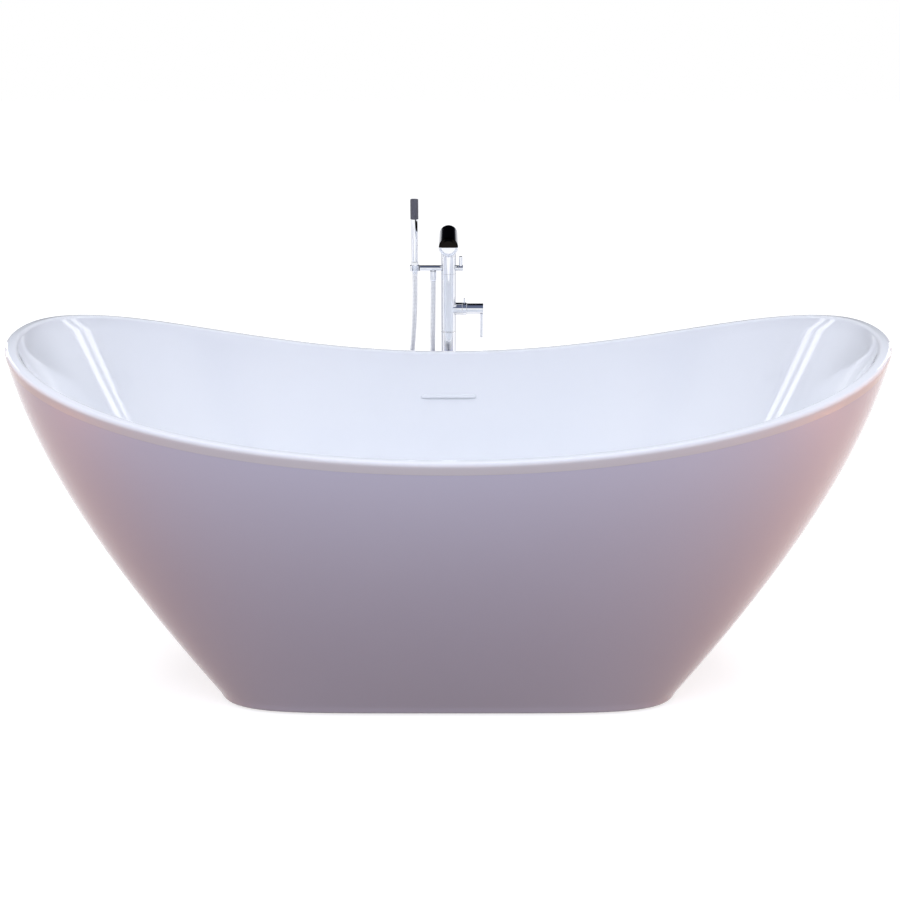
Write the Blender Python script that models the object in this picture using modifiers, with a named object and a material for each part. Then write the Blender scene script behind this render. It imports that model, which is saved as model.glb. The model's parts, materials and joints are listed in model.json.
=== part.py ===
# Freestanding double-slipper bathtub with a floor-standing filler and hand shower.
# Metres, +Z up. The origin is on the floor, at the centre of the whole set's footprint.
# +X runs along the tub and +Y points from the bather's front edge to the filler behind the tub.

import math

import bmesh
import bpy
from mathutils import Vector

# Clearances
GAP = 0.0003
SLIDING_CLEARANCE = 0.0003

# Tub: outline, heights and how far its walls lean
TUB_LENGTH = 1.700
TUB_WIDTH = 0.800
END_HEIGHT = 0.720
SIDE_HEIGHT = 0.575
END_LEAN = 0.387
SIDE_LEAN = 0.144
END_SLOPE = 0.450
SIDE_SLOPE = 0.200
RIM_POWER_ALONG = 4.35
RIM_POWER_ACROSS = 2.10
BASE_POWER = 5.9
FLOOR_POWER = 2.8
SADDLE_POWER = 2.0
SWELL_LOW = 0.448
SWELL_HIGH = 0.253
RING_POINTS = 48

# Basin: one moulded acrylic sheet with a rolled rim
BASIN_WALL = 0.006
RIM_WIDTH = 0.025
RIM_OUTER_RADIUS = 0.008
RIM_INNER_RADIUS = 0.009
LIP_DEPTH = 0.022
BASIN_FLOOR_HEIGHT = 0.150
FLOOR_FALL = 0.006
SUMP_RADIUS = 0.110
DRAIN_HOLE_RADIUS = 0.026

# Outer skirt: its top edge steps in behind the basin's lip, its foot turns in over the floor
SKIRT_WALL = 0.006
SKIRT_FLOOR_CLEARANCE = 0.003
SKIRT_FOOT_RADIUS = 0.010
SKIRT_FOOT_FLANGE = 0.022
JOGGLE_RISE = 0.010

# Base board and steel frame
BOARD_THICKNESS = 0.016
BOARD_INSET = 0.030
BOARD_HOLE_RADIUS = 0.055
FRAME_TUBE = 0.025
FRAME_TUBE_WALL = 0.002
RAIL_INSET = 0.012
CROSSBAR_INSET = 0.045
CROSSBAR_OVERHANG = 0.035

# Levelling feet
STUD_RADIUS = 0.006
STUD_TOP_SPARE = 0.018
FOOT_INSET = 0.014
PAD_RADIUS = 0.025
PAD_HEIGHT = 0.014
PAD_SOCKET_DEPTH = 0.006
NUT_RADIUS = 0.0105
NUT_HEIGHT = 0.008

# Waste, click plug and trap, under the middle of the tub
WASTE_FLANGE_RADIUS = 0.035
WASTE_FLANGE_THICKNESS = 0.002
WASTE_SPIGOT_RADIUS = 0.0245
WASTE_BORE_RADIUS = 0.0215
WASTE_SPIGOT_DEPTH = 0.052
SEAL_THICKNESS = 0.002
HOUSING_FLANGE_RADIUS = 0.040
HOUSING_RADIUS = 0.030
HOUSING_WALL = 0.005
HOUSING_FLOOR_HEIGHT = 0.058
TAIL_RADIUS = 0.020
TAIL_WALL = 0.004
TAIL_BOTTOM = 0.030
BRANCH_HEIGHT = 0.0785
BRANCH_REACH = 0.047
SPIDER_HEIGHT = 0.005
SPIDER_WIDTH = 0.007
HUB_RADIUS = 0.009
PLUG_RADIUS = 0.0315
PLUG_HEIGHT = 0.007
PLUG_SEAL_INNER = 0.017
PLUG_SEAL_OUTER = 0.0265
STEM_RADIUS = 0.004
STEM_LENGTH = 0.046
TRAP_RADIUS = 0.045
TRAP_BOTTOM = 0.008
TRAP_TOP = 0.0395
TRAP_FLOOR = 0.005
TRAP_NUT_RADIUS = 0.0285
TRAP_NUT_HEIGHT = 0.015
OUTLET_RADIUS = 0.016
OUTLET_BORE_RADIUS = 0.0125
OUTLET_REACH = 0.095

# Overflow in the back wall, with its duct and pipe in the hollow behind it
OVERFLOW_HEIGHT = 0.478
OVERFLOW_WIDTH = 0.128
OVERFLOW_FACE_HEIGHT = 0.0095
HOOD_DEPTH = 0.0050
HOOD_FACE = 0.0015
HOOD_BACK_STRIP = 0.0010
HOOD_END = 0.007
OVERFLOW_MOUTH_WIDTH = 0.116
OVERFLOW_MOUTH_HEIGHT = 0.0050
OVERFLOW_SLEEVE_WALL = 0.0012
GASKET_THICKNESS = 0.002
DUCT_HALF_WIDTH = 0.074
DUCT_ABOVE = 0.012
DUCT_BELOW = 0.016
DUCT_DEPTH = 0.016
DUCT_WALL = 0.003
DUCT_SPIGOT_RADIUS = 0.0060
DUCT_SPIGOT_LENGTH = 0.014
OVERFLOW_PIPE_RADIUS = 0.010

# Filler: column on a floor flange behind the tub
FILLER_GAP = 0.060
COVER_RADIUS = 0.045
COVER_HEIGHT = 0.012
ANCHOR_RADIUS = 0.040
ANCHOR_THICKNESS = 0.005
ANCHOR_BORE_RADIUS = 0.0145
ANCHOR_HOLE_RADIUS = 0.003
ANCHOR_HOLE_CIRCLE = 0.030
COLUMN_RADIUS = 0.017
COLUMN_WALL = 0.002
COLUMN_JOINT_HEIGHT = 0.608
COLLAR_HEIGHT = 0.0022
COLLAR_STEP = 0.0004
SUPPLY_RADIUS = 0.0060
SUPPLY_SPACING = 0.0140
SUPPLY_FLOOR_CLEARANCE = 0.0006

# Mixer: valve body, flow ring and temperature cap, along +X from the column
MIXER_HEIGHT = 0.661
VALVE_BODY_TOP = 0.745
BRANCH_RADIUS = 0.0145
BRANCH_END = 0.032
CARTRIDGE_RADIUS = 0.0092
CARTRIDGE_DEPTH = 0.024
SPINDLE_RADIUS = 0.0040
FLOW_RING_WIDTH = 0.0100
FLOW_PIN_RADIUS = 0.0018
FLOW_PIN_TOP = 0.0250
PIN_SOCKET_DEPTH = 0.0030
CAP_RADIUS = 0.0125
CAP_END = 0.0820
CAP_SOCKET_DEPTH = 0.018
LEVER_RADIUS = 0.0030
LEVER_LENGTH = 0.0692

# Crossbar: hose outlet and hand shower cradle to the left, diverter to the right
CROSSBAR_HEIGHT = 0.7573
CROSSBAR_RADIUS = 0.0065
CROSSBAR_BODY_TOP = 0.795
DIVERTER_START = 0.0225
DIVERTER_END = 0.0340
DIVERTER_PIN_RADIUS = 0.0042
DIVERTER_PIN_TOP = 0.0274
DIVERTER_SPINDLE_RADIUS = 0.0026
DIVERTER_SPINDLE_DEPTH = 0.0135
CRADLE_X = -0.0786
CRADLE_RADIUS = 0.0114
CRADLE_BORE_TOP = 0.0088
CRADLE_BORE_BOTTOM = 0.0066
CRADLE_MOUTH = 0.0126
OUTLET_X = -0.0360
OUTLET_BOSS_RADIUS = 0.0046
OUTLET_BOSS_LENGTH = 0.0200
OUTLET_NUT_RADIUS = 0.0072
OUTLET_NUT_BOTTOM = 0.7270

# Spout: a straight barrel that swivels on the column
SPOUT_HEIGHT = 0.834
SPOUT_RADIUS = 0.021
SPOUT_REACH = 0.190
SPOUT_END_RADIUS = 0.009
SPOUT_BORE_RADIUS = 0.015
SPOUT_NECK_BORE = 0.0080
SPOUT_SPIGOT_RADIUS = 0.0110
SPOUT_SPIGOT_DEPTH = 0.0170
SPOUT_COLLAR_RADIUS = 0.0182
SPOUT_COLLAR_HEIGHT = 0.0052
AERATOR_BACKSET = 0.026
AERATOR_RADIUS = 0.0115
AERATOR_WALL = 0.0015
AERATOR_DROP = 0.004
AERATOR_DEPTH = 0.010

# Hand shower, standing in the cradle
HANDSET_TOP = 0.9158
HEAD_HEIGHT = 0.0452
HEAD_RADIUS = 0.0094
HANDLE_TOP_RADIUS = 0.0085
HANDLE_BOTTOM_RADIUS = 0.0073
NUT_CONE_TOP = 0.7720
NUT_CONE_BOTTOM = 0.7440
NUT_SHOULDER_RADIUS = 0.0079

# Hose: 1.5 m, hanging in one loop beside the column; (x, y, z) from the column's foot
HOSE_RADIUS = 0.0060
HOSE_SPACING = 0.025
HOSE_ROUTE = [
    (-0.0786, 0.000, 0.7437),
    (-0.0787, 0.000, 0.7000),
    (-0.0805, 0.000, 0.6400),
    (-0.0865, 0.001, 0.5600),
    (-0.0970, 0.003, 0.4700),
    (-0.1105, 0.006, 0.3800),
    (-0.1245, 0.009, 0.2900),
    (-0.1385, 0.012, 0.2000),
    (-0.1480, 0.014, 0.1300),
    (-0.1500, 0.015, 0.0780),
    (-0.1423, 0.015, 0.0492),
    (-0.1213, 0.015, 0.0282),
    (-0.0925, 0.015, 0.0205),
    (-0.0637, 0.015, 0.0282),
    (-0.0427, 0.015, 0.0492),
    (-0.0350, 0.015, 0.0780),
    (-0.0330, 0.014, 0.1300),
    (-0.0325, 0.013, 0.2100),
    (-0.0335, 0.011, 0.3000),
    (-0.0360, 0.008, 0.4100),
    (-0.0375, 0.004, 0.5200),
    (-0.0372, 0.001, 0.6200),
    (-0.0362, 0.000, 0.6900),
    (-0.0360, 0.000, 0.7267),
]

# Places worked out from the sizes above
BASE_HALF_LENGTH = TUB_LENGTH / 2 - END_LEAN
BASE_HALF_WIDTH = TUB_WIDTH / 2 - SIDE_LEAN
FLOOR_HALF_LENGTH = TUB_LENGTH / 2 - END_SLOPE
FLOOR_HALF_WIDTH = TUB_WIDTH / 2 - SIDE_SLOPE
BOARD_HALF_LENGTH = FLOOR_HALF_LENGTH - BOARD_INSET
BOARD_HALF_WIDTH = FLOOR_HALF_WIDTH - BOARD_INSET
FILLER_OFFSET = TUB_WIDTH / 2 + FILLER_GAP
TUB_Y = -(FILLER_GAP + COVER_RADIUS) / 2
FILLER_Y = TUB_Y + FILLER_OFFSET
SUMP_HEIGHT = BASIN_FLOOR_HEIGHT - FLOOR_FALL
BOARD_TOP = SUMP_HEIGHT - BASIN_WALL - GAP
RAIL_TOP = BOARD_TOP - BOARD_THICKNESS - GAP
CROSSBAR_TUBE_TOP = RAIL_TOP - FRAME_TUBE - GAP
NUT_TOP = CROSSBAR_TUBE_TOP - FRAME_TUBE - GAP
CROSSBAR_HALF_SPAN = BOARD_HALF_WIDTH + CROSSBAR_OVERHANG

# Smoothness of round pieces
ROUND_STEPS = 24
SMALL_STEPS = 16


# ---- scene and materials ----

for old_object in list(bpy.data.objects):
    bpy.data.objects.remove(old_object, do_unlink=True)

parts = bpy.data.collections.new("freestanding_bathtub")
cutters = bpy.data.collections.new("cutters")
bpy.context.scene.collection.children.link(parts)
bpy.context.scene.collection.children.link(cutters)


def make_material(name, color, roughness, metallic):
    material = bpy.data.materials.new(name)
    material.use_nodes = True
    shader = material.node_tree.nodes["Principled BSDF"]
    shader.inputs["Base Color"].default_value = (*color, 1.0)
    shader.inputs["Roughness"].default_value = roughness
    shader.inputs["Metallic"].default_value = metallic
    return material


FINISHES = {
    "white_acrylic": ((0.86, 0.87, 0.91), 0.08, 0.0),
    "skirt_acrylic": ((0.78, 0.78, 0.84), 0.08, 0.0),
    "white_plastic": ((0.85, 0.85, 0.86), 0.35, 0.0),
    "black_plastic": ((0.05, 0.05, 0.055), 0.45, 0.0),
    "grey_plastic": ((0.16, 0.16, 0.19), 0.40, 0.0),
    "rubber": ((0.03, 0.03, 0.03), 0.75, 0.0),
    "board": ((0.55, 0.42, 0.28), 0.80, 0.0),
    "galvanised_steel": ((0.55, 0.56, 0.58), 0.40, 1.0),
    "brass": ((0.78, 0.60, 0.30), 0.30, 1.0),
    "chrome": ((0.88, 0.89, 0.92), 0.06, 1.0),
}
materials = {name: make_material(name, *values) for name, values in FINISHES.items()}


# ---- building helpers ----

def make_datum(name, location):
    datum = bpy.data.objects.new(name, None)
    datum.empty_display_size = 0.1
    datum.location = location
    parts.objects.link(datum)
    return datum


def place(mesh, name, finish, parent, location=(0, 0, 0), rotation=(0, 0, 0)):
    item = bpy.data.objects.new(name, mesh)
    item.location = location
    item.rotation_euler = rotation
    item.parent = parent
    if finish:
        mesh.materials.append(materials[finish])
        parts.objects.link(item)
    else:
        item.hide_render = True
        item.display_type = "WIRE"
        cutters.objects.link(item)
    return item


def finish_mesh(name, builder, sharp_angle=math.radians(35)):
    mesh = bpy.data.meshes.new(name)
    builder.to_mesh(mesh)
    builder.free()
    mesh.shade_smooth()
    mesh.set_sharp_from_angle(angle=sharp_angle)
    return mesh


def rod(name, finish, parent, start, end, radius, steps=SMALL_STEPS, end_radius=None):
    # A cylinder or cone between two points.
    start = Vector(start)
    end = Vector(end)
    builder = bmesh.new()
    bmesh.ops.create_cone(builder, cap_ends=True, segments=steps, radius1=radius,
                          radius2=radius if end_radius is None else end_radius,
                          depth=(end - start).length)
    turn = (end - start).to_track_quat("Z", "Y").to_euler()
    return place(finish_mesh(name, builder), name, finish, parent, (start + end) / 2, turn)


def block(name, finish, parent, low, high, bevel=0.0, rotation=(0, 0, 0), origin=(0, 0, 0)):
    # A box from its low and high corners, measured from its origin.
    builder = bmesh.new()
    bmesh.ops.create_cube(builder, size=1.0)
    for vertex in builder.verts:
        for axis in range(3):
            middle = (low[axis] + high[axis]) / 2
            vertex.co[axis] = middle + vertex.co[axis] * (high[axis] - low[axis])
    item = place(finish_mesh(name, builder), name, finish, parent, origin, rotation)
    if bevel:
        edge = item.modifiers.new("rounded_edges", "BEVEL")
        edge.width = bevel
        edge.segments = 2
    return item


def turned(name, finish, parent, profile, location=(0, 0, 0), rotation=(0, 0, 0),
           steps=ROUND_STEPS, closed=False):
    # A profile of (radius, height) points, run down its outer side, turned about its own Z.
    builder = bmesh.new()
    vertices = [builder.verts.new((radius, 0, height)) for radius, height in profile]
    for first, second in zip(vertices, vertices[1:]):
        builder.edges.new((first, second))
    if closed:
        builder.edges.new((vertices[-1], vertices[0]))
    mesh = bpy.data.meshes.new(name)
    builder.to_mesh(mesh)
    builder.free()
    item = place(mesh, name, finish, parent, location, rotation)
    screw = item.modifiers.new("turned", "SCREW")
    screw.axis = "Z"
    screw.angle = math.tau
    screw.steps = steps
    screw.render_steps = steps
    screw.use_merge_vertices = True
    screw.merge_threshold = 0.0001
    screw.use_smooth_shade = True
    return item


def tube(name, finish, parent, outer, inner, bottom, top, location=(0, 0, 0), rotation=(0, 0, 0),
         steps=ROUND_STEPS):
    profile = [(outer, top), (outer, bottom), (inner, bottom), (inner, top)]
    return turned(name, finish, parent, profile, location, rotation, steps, closed=True)


def combine(item, other, operation):
    change = item.modifiers.new(operation.lower(), "BOOLEAN")
    change.operation = operation
    change.solver = "EXACT"
    change.object = other


def slot_prism(name, finish, parent, width, height, front, back, rotation, origin):
    # A bar with round ends, its width along X and its length along its own Y.
    builder = bmesh.new()
    bmesh.ops.create_circle(builder, cap_ends=True, segments=SMALL_STEPS, radius=height / 2)
    for vertex in builder.verts:
        side = math.copysign((width - height) / 2, vertex.co.x)
        if abs(vertex.co.x) < height * 0.01:
            side = 0.0
        vertex.co = Vector((vertex.co.x + side, front, vertex.co.y))
    sides = bmesh.ops.extrude_face_region(builder, geom=builder.faces[:])["geom"]
    for vertex in sides:
        if isinstance(vertex, bmesh.types.BMVert):
            vertex.co.y = back
    bmesh.ops.recalc_face_normals(builder, faces=builder.faces[:])
    return place(finish_mesh(name, builder), name, finish, parent, origin, rotation)


def sheet(name, finish, parent, rings, thickness):
    # A shell through closed rings of equal point counts, thickened away from its seen side.
    builder = bmesh.new()
    rows = [[builder.verts.new(point) for point in ring] for ring in rings]
    count = len(rows[0])
    for lower, upper in zip(rows, rows[1:]):
        for index in range(count):
            after = (index + 1) % count
            builder.faces.new((lower[index], lower[after], upper[after], upper[index]))
    item = place(finish_mesh(name, builder), name, finish, parent)
    wall = item.modifiers.new("wall", "SOLIDIFY")
    wall.thickness = thickness
    wall.offset = -1.0
    wall.use_even_offset = True
    wall.use_quality_normals = True
    return item


def smooth_route(points, spacing):
    # Points at an even spacing along a Catmull-Rom curve through the given ones.
    points = [Vector(point) for point in points]
    padded = [2 * points[0] - points[1]] + points + [2 * points[-1] - points[-2]]
    dense = []
    for a, b, c, d in zip(padded, padded[1:], padded[2:], padded[3:]):
        for step in range(24):
            t = step / 24
            dense.append(0.5 * (2 * b + (c - a) * t + (2 * a - 5 * b + 4 * c - d) * t * t
                                + (3 * b - a - 3 * c + d) * t ** 3))
    dense.append(points[-1])
    lengths = [0.0]
    for first, second in zip(dense, dense[1:]):
        lengths.append(lengths[-1] + (second - first).length)
    count = round(lengths[-1] / spacing)
    route = []
    index = 0
    for number in range(count + 1):
        target = lengths[-1] * number / count
        while index < len(lengths) - 2 and lengths[index + 1] < target:
            index += 1
        share = (target - lengths[index]) / (lengths[index + 1] - lengths[index])
        route.append(dense[index].lerp(dense[index + 1], share))
    return route


def pipe(name, finish, parent, points, radius, resolution=2):
    curve = bpy.data.curves.new(name, "CURVE")
    curve.dimensions = "3D"
    curve.bevel_depth = radius
    curve.bevel_resolution = resolution
    curve.use_fill_caps = True
    spline = curve.splines.new("POLY")
    spline.points.add(len(points) - 1)
    for target, point in zip(spline.points, points):
        target.co = (*point, 1.0)
    return place(curve, name, finish, parent)


# ---- tub outlines and walls ----

def outline(half_length, half_width, power_along, power_across):
    # |x/a|^m + |y/b|^n = 1, its points spread evenly along each quarter.
    dense = []
    for step in range(1001):
        angle = math.pi / 2 * step / 1000
        dense.append(Vector((half_length * math.cos(angle) ** (2 / power_along),
                             half_width * math.sin(angle) ** (2 / power_across))))
    lengths = [0.0]
    for first, second in zip(dense, dense[1:]):
        lengths.append(lengths[-1] + (second - first).length)
    quarter = []
    per_quarter = RING_POINTS // 4
    index = 0
    for number in range(per_quarter + 1):
        target = lengths[-1] * number / per_quarter
        while index < len(lengths) - 2 and lengths[index + 1] < target:
            index += 1
        share = (target - lengths[index]) / (lengths[index + 1] - lengths[index])
        quarter.append(dense[index].lerp(dense[index + 1], share))
    quarter[-1].x = 0.0
    ring = [point.copy() for point in quarter]
    ring += [Vector((-point.x, point.y)) for point in reversed(quarter[:-1])]
    ring += [Vector((-point.x, -point.y)) for point in quarter[1:]]
    ring += [Vector((point.x, -point.y)) for point in reversed(quarter[1:-1])]
    return ring


def circle_ring(radius, height):
    ring = []
    for number in range(RING_POINTS):
        angle = math.tau * number / RING_POINTS
        ring.append(Vector((radius * math.cos(angle), radius * math.sin(angle), height)))
    return ring


RIM_OUTLINE = outline(TUB_LENGTH / 2, TUB_WIDTH / 2, RIM_POWER_ALONG, RIM_POWER_ACROSS)
BASE_OUTLINE = outline(BASE_HALF_LENGTH, BASE_HALF_WIDTH, BASE_POWER, BASE_POWER)
FLOOR_OUTLINE = outline(FLOOR_HALF_LENGTH, FLOOR_HALF_WIDTH, FLOOR_POWER, FLOOR_POWER)
RIM_HEIGHTS = [SIDE_HEIGHT + (END_HEIGHT - SIDE_HEIGHT)
               * abs(point.x / (TUB_LENGTH / 2)) ** SADDLE_POWER for point in RIM_OUTLINE]


def outside_point(index, height):
    # The outer face at one of the ring's points: it leans out to the rim on a swelling line.
    top = RIM_HEIGHTS[index] - RIM_OUTER_RADIUS
    rise = (height - SKIRT_FLOOR_CLEARANCE) / (top - SKIRT_FLOOR_CLEARANCE)
    share = rise + rise * (1 - rise) * (SWELL_LOW + SWELL_HIGH * rise)
    flat = BASE_OUTLINE[index].lerp(RIM_OUTLINE[index], share)
    return Vector((flat.x, flat.y, height))


def outside_ring_below_rim(drop):
    return [outside_point(index, height - drop) for index, height in enumerate(RIM_HEIGHTS)]


def moved_in(ring, distance, lift=0.0):
    # The same ring moved in towards the tub's middle, square to its own line.
    moved = []
    count = len(ring)
    for index, point in enumerate(ring):
        along = ring[(index + 1) % count] - ring[index - 1]
        across = Vector((-along.y, along.x)).normalized()
        moved.append(Vector((point.x + across.x * distance, point.y + across.y * distance,
                             point.z + lift)))
    return moved


def basin_wall_points(share):
    # The inside wall, part way down from the rim to the floor's edge on a cubic curve.
    edge = moved_in(outside_ring_below_rim(RIM_OUTER_RADIUS), RIM_WIDTH)
    ring = []
    for index, point in enumerate(edge):
        top = Vector((point.x, point.y, RIM_HEIGHTS[index] - RIM_INNER_RADIUS))
        foot = Vector((*FLOOR_OUTLINE[index], BASIN_FLOOR_HEIGHT))
        run = Vector((foot.x - top.x, foot.y - top.y, 0.0))
        upper = top + run * 0.30 + Vector((0, 0, (foot.z - top.z) * 0.45))
        lower = foot - run * 0.45
        left = 1 - share
        ring.append(top * left ** 3 + upper * 3 * share * left ** 2
                    + lower * 3 * share ** 2 * left + foot * share ** 3)
    return ring


def back_wall_at(height):
    # Depth and lean of the inside back wall, at the tub's middle and the given height.
    middle = RING_POINTS // 4
    low = 0.0
    high = 1.0
    for _ in range(40):
        share = (low + high) / 2
        if basin_wall_points(share)[middle].z > height:
            low = share
        else:
            high = share
    above = basin_wall_points(share - 0.01)[middle]
    below = basin_wall_points(share + 0.01)[middle]
    return basin_wall_points(share)[middle].y, math.atan2(above.y - below.y, above.z - below.z)


def build_basin(parent):
    edge = outside_ring_below_rim(RIM_OUTER_RADIUS)
    rings = [outside_ring_below_rim(LIP_DEPTH), edge]
    for angle in (math.radians(30), math.radians(60), math.radians(90)):
        rings.append(moved_in(edge, RIM_OUTER_RADIUS * (1 - math.cos(angle)),
                              RIM_OUTER_RADIUS * math.sin(angle)))
    for angle in (0.0, math.radians(40)):
        inward = RIM_WIDTH - RIM_INNER_RADIUS * (1 - math.sin(angle))
        lift = RIM_OUTER_RADIUS - RIM_INNER_RADIUS * (1 - math.cos(angle))
        rings.append(moved_in(edge, inward, lift))
    wall_steps = 7
    rings += [basin_wall_points(step / wall_steps) for step in range(wall_steps + 1)]
    sump = circle_ring(SUMP_RADIUS, SUMP_HEIGHT)
    rings.append([outer.lerp(inner, 0.55) for outer, inner in zip(rings[-1], sump)])
    rings.append(sump)
    rings.append(circle_ring(DRAIN_HOLE_RADIUS, SUMP_HEIGHT))
    basin = sheet("basin", "white_acrylic", parent, rings, BASIN_WALL)
    combine(basin, overflow_slot("overflow_cutter", None, parent, GAP, -0.02, 0.03), "DIFFERENCE")


def build_skirt(parent):
    foot_height = SKIRT_FLOOR_CLEARANCE + SKIRT_FOOT_RADIUS
    foot = [outside_point(index, foot_height) for index in range(RING_POINTS)]
    rings = [moved_in(foot, SKIRT_FOOT_FLANGE, -SKIRT_FOOT_RADIUS)]
    for angle in (0.0, math.radians(30), math.radians(60)):
        rings.append(moved_in(foot, SKIRT_FOOT_RADIUS * (1 - math.sin(angle)),
                              -SKIRT_FOOT_RADIUS * math.cos(angle)))
    wall_steps = 6
    shelf_drop = LIP_DEPTH + GAP
    for step in range(wall_steps + 1):
        rings.append([outside_point(index, foot_height
                                    + (top - shelf_drop - foot_height) * step / wall_steps)
                      for index, top in enumerate(RIM_HEIGHTS)])
    behind_lip = BASIN_WALL + 2 * GAP
    rings.append(moved_in(rings[-1], behind_lip))
    rings.append(moved_in(outside_ring_below_rim(shelf_drop - JOGGLE_RISE), behind_lip))
    sheet("outer_skirt", "skirt_acrylic", parent, rings, SKIRT_WALL)


# ---- base board, frame and feet ----

def build_frame(parent):
    board = block("base_board", "board", parent,
                  (-BOARD_HALF_LENGTH, -BOARD_HALF_WIDTH, BOARD_TOP - BOARD_THICKNESS),
                  (BOARD_HALF_LENGTH, BOARD_HALF_WIDTH, BOARD_TOP))
    hole = rod("board_hole", None, parent, (0, 0, BOARD_TOP - 2 * BOARD_THICKNESS),
               (0, 0, BOARD_TOP + BOARD_THICKNESS), BOARD_HOLE_RADIUS, ROUND_STEPS)
    combine(board, hole, "DIFFERENCE")
    rail_y = BOARD_HALF_WIDTH - RAIL_INSET - FRAME_TUBE / 2
    inner = FRAME_TUBE / 2 - FRAME_TUBE_WALL
    for side, y in (("front", -rail_y), ("back", rail_y)):
        middle = RAIL_TOP - FRAME_TUBE / 2
        rail = block(f"frame_rail_{side}", "galvanised_steel", parent,
                     (-BOARD_HALF_LENGTH, y - FRAME_TUBE / 2, RAIL_TOP - FRAME_TUBE),
                     (BOARD_HALF_LENGTH, y + FRAME_TUBE / 2, RAIL_TOP))
        hollow = block(f"rail_hollow_{side}", None, parent,
                       (-BOARD_HALF_LENGTH - 0.01, y - inner, middle - inner),
                       (BOARD_HALF_LENGTH + 0.01, y + inner, middle + inner))
        combine(rail, hollow, "DIFFERENCE")
    bar_x = BOARD_HALF_LENGTH - CROSSBAR_INSET
    for side, x in (("left", -bar_x), ("right", bar_x)):
        middle = CROSSBAR_TUBE_TOP - FRAME_TUBE / 2
        bar = block(f"frame_crossbar_{side}", "galvanised_steel", parent,
                    (x - FRAME_TUBE / 2, -CROSSBAR_HALF_SPAN, CROSSBAR_TUBE_TOP - FRAME_TUBE),
                    (x + FRAME_TUBE / 2, CROSSBAR_HALF_SPAN, CROSSBAR_TUBE_TOP))
        hollow = block(f"crossbar_hollow_{side}", None, parent,
                       (x - inner, -CROSSBAR_HALF_SPAN - 0.01, middle - inner),
                       (x + inner, CROSSBAR_HALF_SPAN + 0.01, middle + inner))
        combine(bar, hollow, "DIFFERENCE")
        for number, y in enumerate((-1, 1)):
            build_foot(parent, bar, f"{side}_{('front', 'back')[number]}", x,
                       y * (CROSSBAR_HALF_SPAN - FOOT_INSET))


def build_foot(parent, bar, label, x, y):
    bore = STUD_RADIUS + SLIDING_CLEARANCE
    floor_of_tube = NUT_TOP + GAP + FRAME_TUBE_WALL
    through = rod(f"stud_hole_{label}", None, parent, (x, y, NUT_TOP - 0.002),
                  (x, y, floor_of_tube + 0.002), bore)
    combine(bar, through, "DIFFERENCE")
    datum = make_datum(f"foot_axis_{label}", (x, y, 0))
    datum.parent = parent
    socket = PAD_HEIGHT - PAD_SOCKET_DEPTH
    rod(f"foot_stud_{label}", "galvanised_steel", datum, (0, 0, socket + GAP),
        (0, 0, floor_of_tube + STUD_TOP_SPARE), STUD_RADIUS)
    turned(f"foot_pad_{label}", "black_plastic", datum,
           [(0, socket), (bore, socket), (bore, PAD_HEIGHT), (bore + 0.004, PAD_HEIGHT),
            (PAD_RADIUS, PAD_HEIGHT * 0.45), (PAD_RADIUS, 0), (0, 0)], steps=24)
    tube(f"foot_nut_{label}", "galvanised_steel", parent, NUT_RADIUS, bore,
         NUT_TOP - NUT_HEIGHT, NUT_TOP, (x, y, 0), steps=SMALL_STEPS)


# ---- waste, plug and trap ----

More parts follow.
